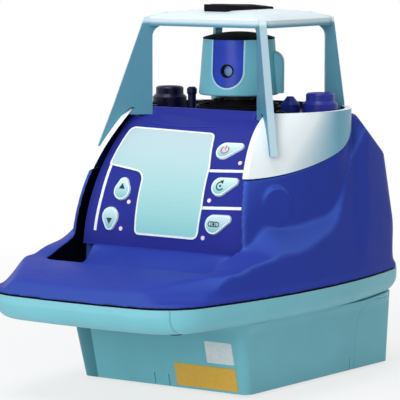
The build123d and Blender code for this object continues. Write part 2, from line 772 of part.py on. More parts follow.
def chassis():
    top = CHASSIS_Z + CHASSIS_THICK
    plan = RectangleRounded(2 * CHASSIS_HALF_X, 2 * CHASSIS_HALF_Y, POST_R) - Circle(GIMBAL_IN)
    body = extrude(level(CHASSIS_Z, plan), amount=CHASSIS_THICK)
    for side in (-1, 1):
        ends = sorted((side * UPRIGHT_X, side * (UPRIGHT_X + UPRIGHT_THICK)))
        wall = block(ends[0], ends[1], -UPRIGHT_WIDE / 2, UPRIGHT_WIDE / 2, top, GIMBAL_Z)
        eye = rod((ends[0], 0, GIMBAL_Z), (ends[1], 0, GIMBAL_Z), UPRIGHT_WIDE / 2)
        hole = rod((ends[0], 0, GIMBAL_Z), (ends[1], 0, GIMBAL_Z), BUSH_R)
        body += wall + eye
        body -= hole
        half = UPRIGHT_WIDE / 4
        body -= block(ends[0], ends[1], -half, half, top + 3 * WALL, GIMBAL_Z - UPRIGHT_WIDE)
    return body


def gimbal_bushes():
    rings = []
    for side in (-1, 1):
        start = (side * UPRIGHT_X, 0, GIMBAL_Z)
        end = (side * (UPRIGHT_X + UPRIGHT_THICK), 0, GIMBAL_Z)
        rings.append(rod(start, end, BUSH_R) - rod(start, end, PIN_R + RUN))
    return Compound(children=rings)


def gimbal_pins():
    pins = []
    for side in (-1, 1):
        far = side * (UPRIGHT_X + UPRIGHT_THICK + PIN_R)
        pins.append(rod((side * (GIMBAL_IN + RUN), 0, GIMBAL_Z), (far, 0, GIMBAL_Z), PIN_R))
        near = side * (BEARING_R + RUN + PIN_R / 4)
        pins.append(rod((0, near, GIMBAL_Z), (0, side * GIMBAL_OUT, GIMBAL_Z), PIN_R))
    return Compound(children=pins)


def gimbal_ring():
    half = GIMBAL_HIGH / 2
    body = tube(GIMBAL_OUT, GIMBAL_IN, GIMBAL_Z - half, GIMBAL_Z + half)
    body -= rod((-GIMBAL_OUT, 0, GIMBAL_Z), (GIMBAL_OUT, 0, GIMBAL_Z), PIN_R)
    return body - rod((0, -GIMBAL_OUT, GIMBAL_Z), (0, GIMBAL_OUT, GIMBAL_Z), PIN_R)


def arm_plan(x, y):
    """Lever arm from the axis to the place of a plunger."""
    return make_hull(Circle(ARM_WIDE).edges() + (Pos(x, y) * Circle(ARM_WIDE / 2)).edges())


def laser_frame():
    body = post(0, 0, SLEEVE_R, SLEEVE_LOW_Z, SLEEVE_TOP_Z)
    for side in (-1, 1):
        body += rod((0, 0, GIMBAL_Z), (0, side * (SLEEVE_R + PIN_R), GIMBAL_Z), 2 * PIN_R)
    body += post(0, 0, SLEEVE_R + WALL, SLEEVE_LOW_Z, SLEEVE_LOW_Z + PLATE_THICK)
    arms = arm_plan(0, -ARM_REACH) + arm_plan(-ARM_REACH, 0)
    body += extrude(level(SLEEVE_LOW_Z, arms), amount=PLATE_THICK)
    shelf = make_hull(Circle(GIMBAL_IN).edges() + (Pos(MOTOR_X, MOTOR_X) * Circle(MOTOR_R)).edges())
    body += extrude(level(TUBE_TOP_Z, shelf), amount=SHELF_THICK)
    body += post(0, 0, TUBE_R, TUBE_LOW_Z, TUBE_TOP_Z)
    spine_in = PULLEY_R + BELT_THICK + WALL
    half = SPINE_WIDE / 2
    top = SLEEVE_LOW_Z + PLATE_THICK
    spine = block(-spine_in - 2 * WALL, -spine_in, -half, half, TUBE_TOP_Z, top)
    link = block(-spine_in, 0, -half, half, SLEEVE_LOW_Z, top)
    body += Rot(0, 0, 45) * (spine + link)
    for x, y in VIALS:
        body += vial_saddle(x, y)
    body -= post(0, 0, BEARING_R, SLEEVE_LOW_Z, SLEEVE_TOP_Z)
    body -= post(0, 0, SPINDLE_BORE, TUBE_TOP_Z, SLEEVE_LOW_Z)
    body -= post(0, 0, TUBE_BORE, TUBE_LOW_Z, TUBE_TOP_Z)
    body -= post(MOTOR_X, MOTOR_X, SHAFT_R + WALL, TUBE_TOP_Z, SLEEVE_LOW_Z)
    body -= rod((0, -2 * SLEEVE_R, GIMBAL_Z), (0, 2 * SLEEVE_R, GIMBAL_Z), PIN_R + RUN)
    for x, y in VIALS:
        body -= vial(x, y)
    return body


def vial(x, y):
    """Glass tube level lying beside the optics tube, square to the line from the axis."""
    z = TUBE_TOP_Z - VIAL_R
    if y:
        return rod((-VIAL_LONG / 2, y, z), (VIAL_LONG / 2, y, z), VIAL_R)
    return rod((x, -VIAL_LONG / 2, z), (x, VIAL_LONG / 2, z), VIAL_R)


def vial_saddle(x, y):
    reach_x = VIAL_LONG / 3 if y else VIAL_R + 1
    reach_y = VIAL_R + 1 if y else VIAL_LONG / 3
    low = TUBE_TOP_Z - VIAL_R
    return block(x - reach_x, x + reach_x, y - reach_y, y + reach_y, low, TUBE_TOP_Z + WALL / 2)


def spindle():
    body = post(0, 0, SPINDLE_R, BELT_Z - WALL, ROTOR_LOW_Z + ROTOR_FLOOR + WALL)
    body += post(0, 0, BEARING_R - FIT, ROTOR_LOW_Z - SPINDLE_FLANGE, ROTOR_LOW_Z)
    return body - post(0, 0, SPINDLE_BORE, BELT_Z - 2 * WALL, ROTOR_TOP_Z)


def pulley(x, y, radius, bore):
    body = post(x, y, radius, BELT_Z - BELT_LIP, BELT_Z + BELT_HIGH + BELT_LIP)
    for z in (BELT_Z - BELT_LIP, BELT_Z + BELT_HIGH + FIT):
        body += post(x, y, radius + BELT_THICK + 0.5, z, z + BELT_LIP - FIT)
    return body - post(x, y, bore, BELT_Z - 2 * WALL, BELT_Z + BELT_HIGH + 2 * WALL) if bore else body


def motor_pulley():
    shaft = post(MOTOR_X, MOTOR_X, SHAFT_R, TUBE_TOP_Z + FIT, BELT_Z + BELT_HIGH)
    return pulley(MOTOR_X, MOTOR_X, MOTOR_PULLEY_R, 0) + shaft


def drive_belt():
    loops = []
    for grow in (FIT, FIT + BELT_THICK - 0.4):
        big = Circle(PULLEY_R + grow).edges()
        small = (Pos(MOTOR_X, MOTOR_X) * Circle(MOTOR_PULLEY_R + grow)).edges()
        loops.append(make_hull(big + small))
    return extrude(level(BELT_Z + FIT, loops[1] - loops[0]), amount=BELT_HIGH - 2 * FIT)


def spindle_bearings():
    low = SLEEVE_LOW_Z + WALL
    high = SLEEVE_TOP_Z - 1.0 - BEARING_HIGH
    rings = [tube(BEARING_R, SPINDLE_R + RUN, z, z + BEARING_HIGH) for z in (low, high)]
    return Compound(children=rings)


def laser_diode():
    body = post(0, 0, TUBE_BORE - PRESS, DIODE_LOW_Z, DIODE_LOW_Z + DIODE_LONG)
    for step in range(3):
        z = DIODE_LOW_Z + step * WALL * 0.6
        body += post(0, 0, TUBE_R - 1.0, z, z + WALL / 3)
    return body


def dome(radius, rise, z):
    """Cap of a ball that stands rise above a level rim."""
    ball = (radius ** 2 + rise ** 2) / (2 * rise)
    return Pos(0, 0, z + rise - ball) * Sphere(ball) & post(0, 0, radius, z, z + rise)


def collimator_lens():
    radius = TUBE_BORE - PRESS
    rim = TUBE_TOP_Z - LENS_BULGE
    return dome(radius, LENS_BULGE, rim) + post(0, 0, radius, TUBE_TOP_Z - LENS_THICK, rim)


def actuator(x, y):
    low = CHASSIS_Z + CHASSIS_THICK
    body = post(x, y, ACTUATOR_R, low, low + ACTUATOR_HIGH)
    body += post(x, y, 2 * PLUNGER_R, low, low + ACTUATOR_HIGH + WALL)
    return body - post(x, y, PLUNGER_R + RUN, low + ACTUATOR_HIGH / 3, low + 2 * ACTUATOR_HIGH)


def plunger(x, y):
    low = CHASSIS_Z + CHASSIS_THICK + ACTUATOR_HIGH / 2
    top = SLEEVE_LOW_Z - PLUNGER_GAP
    tip = Pos(x, y, top - PLUNGER_R) * Sphere(PLUNGER_R)
    return post(x, y, PLUNGER_R, low, top - PLUNGER_R) + tip


def rotor_radius(z):
    share = (z - ROTOR_LOW_Z) / (ROTOR_TOP_Z - ROTOR_LOW_Z)
    return ROTOR_LOW_R + share * (ROTOR_TOP_R - ROTOR_LOW_R)


def head_cone(inset, z_low, z_high):
    """Solid inside the conical wall of the head."""
    low = rotor_radius(z_low) - inset
    high = rotor_radius(z_high) - inset
    return turned(((0, z_low), (low, z_low), (high, z_high), (0, z_high)))


def head_plane(azimuth):
    """Upright plane through the axis that faces out at an azimuth from the front."""
    out = (sin(radians(azimuth)), -cos(radians(azimuth)), 0)
    across = (cos(radians(azimuth)), sin(radians(azimuth)), 0)
    return Plane(origin=(0, 0, 0), x_dir=across, z_dir=out)


def window_prism(shrink=0.0):
    """U-shaped window outline thrown outwards from the axis."""
    half = WINDOW_WIDE / 2 - shrink
    centre = WINDOW_LOW_Z + WINDOW_WIDE / 2
    top = ROTOR_TOP_Z - shrink
    face = Pos(0, centre) * Circle(half)
    face += Pos(0, (centre + top) / 2) * Rectangle(2 * half, top - centre)
    return extrude(head_plane(WINDOW_AZ) * face, amount=2 * ROTOR_LOW_R)


def rotor_shell():
    outer = head_cone(0, ROTOR_LOW_Z, ROTOR_TOP_Z)
    outer = fillet(outer.edges().group_by(Axis.Z)[0], ROTOR_ROUND)
    body = outer - head_cone(ROTOR_WALL, ROTOR_LOW_Z + ROTOR_FLOOR, ROTOR_TOP_Z)
    body -= window_prism()
    lip = head_cone(ROTOR_WALL - RUN, WINDOW_LOW_Z - WALL, ROTOR_TOP_Z - WALL)
    lip -= head_cone(2 * ROTOR_WALL, WINDOW_LOW_Z - WALL, ROTOR_TOP_Z - WALL)
    frame = lip & window_prism(-WALL)
    body += frame - window_prism(WALL)
    hub = post(0, 0, SPINDLE_R + WALL, ROTOR_LOW_Z, ROTOR_LOW_Z + ROTOR_FLOOR + WALL)
    body += hub
    return body - post(0, 0, SPINDLE_R, ROTOR_LOW_Z, ROTOR_TOP_Z)


def window_panel():
    pane = head_cone(PANE_SET, WINDOW_LOW_Z, ROTOR_TOP_Z)
    pane -= head_cone(PANE_SET + PANE_THICK, WINDOW_LOW_Z, ROTOR_TOP_Z)
    return (pane & window_prism(PRESS)) - lens_bore()


def lens_bore():
    return extrude(head_plane(WINDOW_AZ) * (Pos(0, LENS_Z) * Circle(LENS_R)), amount=2 * ROTOR_LOW_R)


def aperture_barrel():
    """Short tube set into the window, with the lens at its inner end."""
    front = rotor_radius(LENS_Z) - PANE_SET
    ring = Circle(LENS_R - RUN) - Circle(LENS_R - BARREL_WALL)
    plane = head_plane(WINDOW_AZ).offset(front - BARREL_LONG)
    return extrude(plane * (Pos(0, LENS_Z) * ring), amount=BARREL_LONG)


def aperture_lens():
    front = rotor_radius(LENS_Z) - PANE_SET
    plane = head_plane(WINDOW_AZ).offset(front - BARREL_LONG)
    disc = Pos(0, LENS_Z) * Circle(LENS_R - BARREL_WALL - RUN)
    return extrude(plane * disc, amount=PANE_THICK)


def rotor_cap():
    rim_z = ROTOR_TOP_Z + CAP_RIM
    spigot = ROTOR_TOP_R - 2 * ROTOR_WALL - FIT
    body = post(0, 0, ROTOR_TOP_R, ROTOR_TOP_Z, rim_z) + dome(ROTOR_TOP_R, CAP_RISE - CAP_RIM, rim_z)
    return body + tube(spigot, spigot - ROTOR_WALL, ROTOR_TOP_Z - WALL, ROTOR_TOP_Z)


def side_port():
    """Hood of the split beam: a block beside the head with a rounded shoulder and a port."""
    shoulder = (PORT_REACH - PORT_ROUND, PORT_TOP_Z)
    side = (PORT_REACH, PORT_TOP_Z - PORT_ROUND)
    bend = PORT_ROUND * cos(radians(45))
    middle = (shoulder[0] + bend, side[1] + bend)
    edges = Polyline(shoulder, (0, PORT_TOP_Z), (0, PORT_LOW_Z), (PORT_REACH, PORT_LOW_Z), side)
    face = make_face(edges + ThreePointArc(side, middle, shoulder))
    hood = extrude(Plane.XZ * face, amount=PORT_WIDE / 2, both=True)
    hood = fillet(hood.edges().filter_by(Axis.Z), PORT_EDGE)
    hood -= rod((PORT_REACH - WALL, 0, LENS_Z), (PORT_REACH + WALL, 0, LENS_Z), PORT_HOLE_R)
    return Rot(0, 0, PORT_AZ - 90) * hood - head_cone(-RUN, ROTOR_LOW_Z, ROTOR_TOP_Z)


def pentaprism():
    half = PRISM / 2
    cut = PRISM * 0.41
    corners = ((-half, 0), (half, 0), (half, PRISM), (half - cut, PRISM + cut), (-half, PRISM))
    face = make_face(Polyline(*corners, close=True))
    low = ROTOR_LOW_Z + ROTOR_FLOOR + WALL
    plane = head_plane(WINDOW_AZ + 90).offset(-half)
    return extrude(plane * (Pos(0, low) * face), amount=PRISM)


def bellows():
    top = BELLOWS_TOP_Z
    low = DECK_Z + DECK_THICK
    start = low + RING_THICK
    step = (RING_IN - BELLOWS_IN) / BELLOWS_FOLDS
    rise = (top - start) / BELLOWS_FOLDS
    edges = []
    for fold in range(BELLOWS_FOLDS):
        a = (RING_IN - fold * step, start + fold * rise)
        c = (RING_IN - (fold + 1) * step, start + (fold + 1) * rise)
        b = ((a[0] + c[0]) / 2, (a[1] + c[1]) / 2 + step / 4)
        edges.append(ThreePointArc(a, b, c))
    close = Polyline((BELLOWS_IN, top), (BELLOWS_IN, low), (RING_IN, low), (RING_IN, start))
    return revolve(Plane.XZ * make_face(Curve() + edges + close.edges()), Axis.Z)


def deck_plate():
    top = DECK_Z + DECK_THICK
    plate = neck_body(COLLAR_THICK + PRESS) & slab(DECK_Z, top)
    plate = plate & behind_arc(WING_R - PANEL_SET - PANEL_THICK - PRESS)
    plate -= post(0, 0, BELLOWS_IN, DECK_Z, top)
    for x, y in tab_places():
        plate -= post(x, y, TAB_SCREW_R, DECK_Z, top)
    return plate


def tab_places():
    return [(sx * TAB_X, sy * TAB_Y) for sx in (-1, 1) for sy in (-1, 1)]


def deck_caps():
    """Two round caps with a broad skirt and a dished top."""
    low = DECK_Z + DECK_THICK
    skirt = low + (CAP_TOP_Z - low) * 0.55
    outline = (
        (0, low), (CAP_R - 0.8, low), (CAP_R, low + 1.0), (CAP_R, skirt), (CAP_TOP_R, skirt + 2.0),
        (CAP_TOP_R, CAP_TOP_Z - 1.0), (CAP_TOP_R - 1.0, CAP_TOP_Z), (CAP_TOP_R - 2.4, CAP_TOP_Z),
        (CAP_TOP_R - 2.8, CAP_TOP_Z - 0.8), (0, CAP_TOP_Z - 0.8),
    )
    cap = turned(outline)
    return Compound(children=[Pos(x, CAP_Y, 0) * cap for x in (-CAP_X, CAP_X)])


def deck_studs():
    """A slim peg on the left and a broad stud with a conical top on the right."""
    low = DECK_Z + DECK_THICK
    shoulder = low + (STUD_TOP_Z - low) * 0.6
    stud = turned(((0, low), (STUD_R, low), (STUD_R, shoulder), (STUD_R / 3, STUD_TOP_Z), (0, STUD_TOP_Z)))
    neck = PEG_TOP_Z - 1.2 * PEG_R
    peg = turned((
        (0, low), (PEG_R - 0.6, low), (PEG_R - 0.6, neck - 1.0), (PEG_R, neck), (PEG_R, PEG_TOP_Z - 1.2),
        (PEG_R - 1.2, PEG_TOP_Z), (0, PEG_TOP_Z),
    ))
    return Compound(children=[Pos(PEG_X, 0, 0) * peg, Pos(STUD_X, 0, 0) * stud])


def roof_body(inset, drop):
    """Domed roof of the cage: rim, shoulder and flat crown."""
    corner = ROOF_CORNER - inset
    rim = RectangleRounded(2 * (ROOF_HALF_X - inset), 2 * (ROOF_HALF_Y - inset), corner)
    sections = [level(ROOF_EDGE_Z - drop, rim)]
    for share, height in ROOF_STEPS:
        wide = 2 * (ROOF_HALF_X - inset) * share
        deep = 2 * (ROOF_HALF_Y - inset) * share
        z = ROOF_EDGE_Z + (ROOF_TOP_Z - ROOF_EDGE_Z) * height - drop
        sections.append(level(z, RectangleRounded(wide, deep, corner * share)))
    skirt = extrude(level(ROOF_LOW_Z, rim), amount=ROOF_EDGE_Z - drop - ROOF_LOW_Z)
    return skirt + loft(sections)


def blade(side_x, side_y):
    """Radial post from the collar up and over a corner of the roof."""
    deck = DECK_Z + DECK_THICK
    if side_y < 0:
        outer = [(FRONT_FOOT_R, FRONT_FOOT_Z), (FRONT_TIP_R, FRONT_TIP_Z), (BLADE_INNER, FRONT_TIP_Z)]
    else:
        outer = [(REAR_FOOT_R, FRONT_FOOT_Z), (REAR_FOOT_R, deck), (BLADE_INNER, deck)]
    crest = [(BLADE_CREST_R, ROOF_EDGE_Z + BLADE_RISE), (BLADE_TOP_R, ROOF_EDGE_Z + BLADE_RISE / 8)]
    start = (BLADE_INNER, ROOF_LOW_Z - GUSSET)
    end = (BLADE_INNER - GUSSET, ROOF_LOW_Z)
    bend = GUSSET * cos(radians(45))
    middle = (end[0] + bend, start[1] + bend)
    outline = Polyline(end, *crest, *outer, start) + ThreePointArc(start, middle, end)
    span = hypot(ROOF_HALF_X, ROOF_HALF_Y)
    out = (side_x * ROOF_HALF_X / span, side_y * ROOF_HALF_Y / span, 0)
    plane = Plane(origin=(0, 0, 0), x_dir=out, z_dir=(out[1], -out[0], 0))
    return extrude(plane * make_face(outline), amount=BLADE_THICK / 2, both=True)


def tab_body(x, y):
    deck = DECK_Z + DECK_THICK
    reach = BLADE_INNER + BLADE_THICK / 2
    span = hypot(ROOF_HALF_X, ROOF_HALF_Y)
    root_x = reach * ROOF_HALF_X / span * (1 if x > 0 else -1)
    root_y = reach * ROOF_HALF_Y / span * (1 if y > 0 else -1)
    root = Pos(root_x, root_y) * Circle(BLADE_THICK / 2)
    plan = make_hull((Pos(x, y) * Circle(TAB_R)).edges() + root.edges())
    return extrude(level(deck, plan), amount=TAB_THICK) - post(x, y, TAB_SCREW_R, deck, deck + TAB_THICK)


def cage():
    deck = DECK_Z + DECK_THICK
    envelope = neck_body() - (neck_body(COLLAR_THICK + PRESS) & slab(deck, COLLAR_TOP_Z + COLLAR_THICK))
    envelope = envelope & slab(SPLIT_Z, COLLAR_TOP_Z)
    blades = Part()
    for side_x in (-1, 1):
        for side_y in (-1, 1):
            blades += blade(side_x, side_y)
    body = roof_body(0, 0) - roof_body(ROOF_SHELL, ROOF_SHELL)
    body += blades - envelope
    for x, y in tab_places():
        body += tab_body(x, y)
    return body


def grip_pad():
    plan = RectangleRounded(GRIP_WIDE, GRIP_LONG, GRIP_WIDE / 4)
    bar = extrude(level(ROOF_EDGE_Z, plan), amount=GRIP_TOP_Z - ROOF_EDGE_Z)
    bar = chamfer(bar.edges().group_by(Axis.Z)[-1], 1.2)
    return bar - roof_body(0, 0)


def panel_plane(x, arc, depth=0.0):
    """Plane on the panel face at X and an arc length, its normal pointing out."""
    face_r = WING_R - PANEL_SET
    turn = arc / face_r
    reach = face_r - depth
    place = (x, PANEL_Y - reach * cos(turn), PANEL_Z + reach * sin(turn))
    return Plane(origin=place, x_dir=(1, 0, 0), z_dir=(0, -cos(turn), sin(turn)))


def key_outline(name, grow=0.0):
    """Drop-shaped key, its big end towards the inside or the middle of the panel."""
    if name in RIGHT_KEYS:
        big, small = Pos(*RIGHT_BIG[:2]), Pos(*RIGHT_SMALL[:2])
        radii = (RIGHT_BIG[2] + grow, RIGHT_SMALL[2] + grow)
    else:
        way = LEFT_KEYS[name][2]
        big, small = Pos(0, -way * LEFT_BIG[0]), Pos(0, way * LEFT_SMALL[0])
        radii = (LEFT_BIG[1] + grow, LEFT_SMALL[1] + grow)
    return make_hull((big * Circle(radii[0])).edges() + (small * Circle(radii[1])).edges())


def key_place(name):
    place = RIGHT_KEYS.get(name) or LEFT_KEYS[name]
    return place[0], place[1]


def key(name):
    x, arc = key_place(name)
    back = PANEL_THICK + KEY_BACK
    top = panel_plane(x, arc, -KEY_PROUD) * key_outline(name, -KEY_BEVEL)
    cap = loft([panel_plane(x, arc) * key_outline(name), top])
    stem = extrude(panel_plane(x, arc) * key_outline(name), amount=-back)
    rim = extrude(panel_plane(x, arc, back) * key_outline(name, KEY_RIM), amount=-KEY_FLANGE)
    return cap + stem + rim


def key_hole(name):
    x, arc = key_place(name)
    return extrude(panel_plane(x, arc) * key_outline(name, KEY_GAP), amount=2 * PANEL_THICK, both=True)


def panel_layer(depth, thick, inset, z_low, z_high):
    """Sheet that follows the panel, depth behind its face."""
    face_r = WING_R - PANEL_SET - depth
    sheet = behind_arc(face_r) - behind_arc(face_r - thick)
    return sheet & neck_body(inset) & block(-ARCH_HALF, ARCH_HALF, -2 * ARCH_HALF, 0, z_low, z_high)


def control_panel():
    side = COLLAR_THICK + SLOT
    plate = panel_layer(0, PANEL_THICK, side, PANEL_LOW_Z, PANEL_HIGH_Z)
    deep = RECESS_DEEP - PANEL_SET - PANEL_THICK
    legs = panel_layer(PANEL_THICK, deep, side, PANEL_LOW_Z, DECK_Z)
    legs -= neck_body(side + SKIN)
    body = plate + legs + panel_lip()
    for name in KEYS:
        body -= key_hole(name)
    for x, arc in LAMPS:
        body -= lamp(x, arc)
    return body


def panel_lip():
    """Upright rim along the top of the panel, between the front posts of the cage."""
    face_r = WING_R - PANEL_SET
    rise = PANEL_HIGH_Z - PANEL_Z
    foot = PANEL_Y - (face_r ** 2 - rise ** 2) ** 0.5
    top = LIP_TOP_Z - PANEL_THICK / 2
    round_off = ThreePointArc(
        (foot + LIP_LEAN, top),
        (foot + LIP_LEAN + PANEL_THICK / 2, LIP_TOP_Z),
        (foot + LIP_LEAN + PANEL_THICK, top),
    )
    rest = Polyline(
        (foot + LIP_LEAN + PANEL_THICK, top),
        (foot + LIP_LEAN + PANEL_THICK, PANEL_HIGH_Z),
        (foot, PANEL_HIGH_Z),
        (foot + LIP_LEAN, top),
    )
    return side_prism(round_off + rest, LIP_HALF)


def lamp(x, arc):
    return extrude(panel_plane(x, arc, LAMP_DEEP) * Circle(LAMP_R), amount=LAMP_DEEP + LAMP_PROUD)


def indicator_leds():
    return Compound(children=[lamp(x, arc) for x, arc in LAMPS])


def keypad_overlay():
    face_r = WING_R - PANEL_SET
    middle = OVERLAY_MIDDLE / face_r
    points = [(x, face_r * sin(arc / face_r - middle)) for x, arc in OVERLAY_OUTLINE]
    face = make_face(Polyline(*points, close=True))
    face = fillet(face.vertices(), OVERLAY_ROUND)
    column = extrude(panel_plane(0, OVERLAY_MIDDLE) * face, amount=face_r / 2, both=True)
    return column & (behind_arc(face_r + PRESS + OVERLAY_THICK) - behind_arc(face_r + PRESS))


def keypad_board():
    deep = RECESS_DEEP - PANEL_SET - BOARD_THICK
    low = PANEL_LOW_Z + 2 * WALL
    board = panel_layer(deep, BOARD_THICK, COLLAR_THICK + SLOT + SKIN + WALL, low, DECK_Z - WALL)
    return board - key_switches()


def key_switches():
    deep = RECESS_DEEP - PANEL_SET - BOARD_THICK
    domes = []
    for name in KEYS:
        x, arc = key_place(name)
        domes.append(extrude(panel_plane(x, arc, deep) * Circle(DOME_R), amount=DOME_HIGH, taper=30))
        domes[-1] += extrude(panel_plane(x, arc, deep) * Circle(DOME_R), amount=-BOARD_THICK / 4)
    return Compound(children=domes)


def housing_screws():
    screws = []
    for x, y in HOUSING_SCREWS:
        seat = seat_z(y)
        screws.append(screw(x, y, seat, 1, SCREW_R, SPLIT_Z + SCREW_BITE - seat))
    return Compound(children=screws)


def cage_screws():
    seat = DECK_Z + DECK_THICK + TAB_THICK
    screws = [screw(x, y, seat, -1, TAB_SCREW_R, seat - DECK_Z) for x, y in tab_places()]
    return Compound(children=screws)


PARTS = {
    "lower_housing": lower_housing(),
    "upper_housing": upper_housing(),
    "housing_seal": housing_seal(),
    "housing_screws": housing_screws(),
    "collar": collar(),
    "control_panel": control_panel(),
    "keypad_overlay": keypad_overlay(),
    "keypad_board": keypad_board(),
    "key_switches": key_switches(),
    "indicator_leds": indicator_leds(),
    "cage": cage(),
    "cage_screws": cage_screws(),
    "roof_grip_pad": grip_pad(),
    "deck_plate": deck_plate(),
    "deck_caps": deck_caps(),
    "deck_studs": deck_studs(),
    "bellows": bellows(),
    "bellows_ring": tube(RING_OUT, RING_IN, DECK_Z + DECK_THICK, DECK_Z + DECK_THICK + RING_THICK),
    "bellows_cuff": tube(SLEEVE_R + 2.2, SLEEVE_R, SLEEVE_TOP_Z - 6.0, SLEEVE_TOP_Z - 1.0),
    "tripod_insert": tripod_insert(),
    "rubber_feet": base_feet(),
    "cover_feet": cover_feet(),
    "chassis": chassis(),
    "gimbal_bushes": gimbal_bushes(),
    "gimbal_ring": gimbal_ring(),
    "gimbal_pins": gimbal_pins(),
    "main_board": main_board(),
    "leveling_motor_x": actuator(0, -ARM_REACH),
    "leveling_motor_y": actuator(-ARM_REACH, 0),
    "leveling_plunger_x": plunger(0, -ARM_REACH),
    "leveling_plunger_y": plunger(-ARM_REACH, 0),
    "battery_cover": battery_cover(),
    "cover_gasket": cover_gasket(),
    "battery_cradle": battery_cradle(),
    "battery_cells": battery_cells(),
    "battery_contacts": battery_contacts(),
    "latch_knob": latch_knob(),
    "latch_stud": latch_stud(),
    "laser_frame": laser_frame(),
    "laser_diode": laser_diode(),
    "collimator_lens": collimator_lens(),
    "level_vials": Compound(children=[vial(x, y) for x, y in VIALS]),
    "spindle_bearings": spindle_bearings(),
    "rotor_motor": post(MOTOR_X, MOTOR_X, MOTOR_R, TUBE_TOP_Z - MOTOR_HIGH, TUBE_TOP_Z),
    "motor_pulley": motor_pulley(),
    "drive_belt": drive_belt(),
    "spindle": spindle(),
    "spindle_pulley": pulley(0, 0, PULLEY_R, SPINDLE_R),
    "rotor_shell": rotor_shell(),
    "rotor_cap": rotor_cap(),
    "window_panel": window_panel(),
    "aperture_lens": aperture_lens(),
    "aperture_barrel": aperture_barrel(),
    "pentaprism": pentaprism(),
    "side_port": side_port(),
}
for key_name in KEYS:
    PARTS[key_name] = key(key_name)

os.makedirs("parts", exist_ok=True)
for name, shape in PARTS.items():
    export_step(shape, f"parts/{name}.step")
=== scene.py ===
import math

import bmesh
import bpy
import numpy as np
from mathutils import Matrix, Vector
from mathutils.geometry import delaunay_2d_cdt


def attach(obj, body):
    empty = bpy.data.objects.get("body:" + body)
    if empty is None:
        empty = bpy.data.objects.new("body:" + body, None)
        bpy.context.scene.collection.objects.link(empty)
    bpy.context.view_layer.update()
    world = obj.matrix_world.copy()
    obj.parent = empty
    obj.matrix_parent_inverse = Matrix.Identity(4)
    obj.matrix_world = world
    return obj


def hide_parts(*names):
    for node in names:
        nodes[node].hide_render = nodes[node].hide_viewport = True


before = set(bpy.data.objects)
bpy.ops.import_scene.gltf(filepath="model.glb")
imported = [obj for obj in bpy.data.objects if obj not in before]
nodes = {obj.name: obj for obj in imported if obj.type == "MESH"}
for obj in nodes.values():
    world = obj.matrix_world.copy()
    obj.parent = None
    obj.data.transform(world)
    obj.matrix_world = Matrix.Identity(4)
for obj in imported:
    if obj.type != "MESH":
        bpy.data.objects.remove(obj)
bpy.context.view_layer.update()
scene = bpy.context.scene
scene.view_settings.view_transform = "Standard"
MM = 0.001


# Colours and shader nodes

RANGE_KEYS = ("From Min", "From Max", "To Min", "To Max")


def srgb(r, g, b):
    """Linear colour from the 0-255 values a picture shows."""
    out = []
    for value in (r, g, b):
        c = value / 255
        out.append(c / 12.92 if c <= 0.04045 else ((c + 0.055) / 1.055) ** 2.4)
    return (*out, 1.0)


def tint(colour, factor):
    return (*(min(c * factor, 1.0) for c in colour[:3]), 1.0)


def fresh(name):
    material = bpy.data.materials.new(name)
    material.use_nodes = True
    nt = material.node_tree
    return material, nt, nt.nodes["Principled BSDF"]


def node(nt, kind, **settings):
    made = nt.nodes.new("ShaderNode" + kind)
    for key, value in settings.items():
        setattr(made, key, value)
    return made


def put(nt, value, socket):
    """Links an output to a socket, or sets the socket's own value."""
    if isinstance(value, bpy.types.NodeSocket):
        nt.links.new(value, socket)
    else:
        socket.default_value = value


def spot(nt, kind="Object"):
    return node(nt, "TexCoord").outputs[kind]


def noise(nt, place, scale, detail=3.0, rough=0.55):
    made = node(nt, "TexNoise")
    put(nt, place, made.inputs["Vector"])
    made.inputs["Scale"].default_value = scale
    made.inputs["Detail"].default_value = detail
    made.inputs["Roughness"].default_value = rough
    return made.outputs["Fac"]


def stretched(nt, place, scale):
    made = node(nt, "Mapping")
    put(nt, place, made.inputs["Vector"])
    made.inputs["Scale"].default_value = scale
    return made.outputs["Vector"]


def span(nt, value, low, high, to_low=0.0, to_high=1.0):
    made = node(nt, "MapRange")
    put(nt, value, made.inputs["Value"])
    for key, number in zip(RANGE_KEYS, (low, high, to_low, to_high)):
        made.inputs[key].default_value = number
    return made.outputs["Result"]


def sums(nt, operation, a, b=0.0):
    made = node(nt, "Math", operation=operation)
    put(nt, a, made.inputs[0])
    put(nt, b, made.inputs[1])
    return made.outputs[0]


def times(nt, first, *others):
    for other in others:
        first = sums(nt, "MULTIPLY", first, other)
    return first


def dot(nt, a, b):
    made = node(nt, "VectorMath", operation="DOT_PRODUCT")
    put(nt, a, made.inputs[0])
    put(nt, b, made.inputs[1])
    return made.outputs["Value"]


def blendc(nt, share, a, b):
    """Colour a where share is 0 and b where it is 1."""
    made = node(nt, "Mix", data_type="RGBA")
    put(nt, share, made.inputs[0])
    put(nt, a, made.inputs[6])
    put(nt, b, made.inputs[7])
    return made.outputs[2]


def mix_shader(nt, share, a, b):
    made = node(nt, "MixShader")
    for value, socket in zip((share, a, b), made.inputs):
        put(nt, value, socket)
    return made.outputs[0]


def axis(nt, vector, letter):
    made = node(nt, "SeparateXYZ")
    put(nt, vector, made.inputs[0])
    return made.outputs[letter]


def relief(nt, bsdf, height, strength, distance):
    made = node(nt, "Bump")
    made.inputs["Strength"].default_value = strength
    made.inputs["Distance"].default_value = distance
    put(nt, height, made.inputs["Height"])
    put(nt, made.outputs["Normal"], bsdf.inputs["Normal"])


# Camera at the photograph's place and angle, floor, world and lamps

CAMERA_AT = (0.95138, -1.36909, 0.28332)
CAMERA_WAY = Vector((-0.57928, 0.80833, -0.10503))
CAMERA_LENS, CAMERA_SENSOR = 241.6, 36.0
CAMERA_NEAR, CAMERA_FAR = 0.05, 20.0
FLOOR_HALF = 4.0
FLOOR_TONE = (0.8, 0.8, 0.8, 1)
FLOOR_ROUGH = 0.9
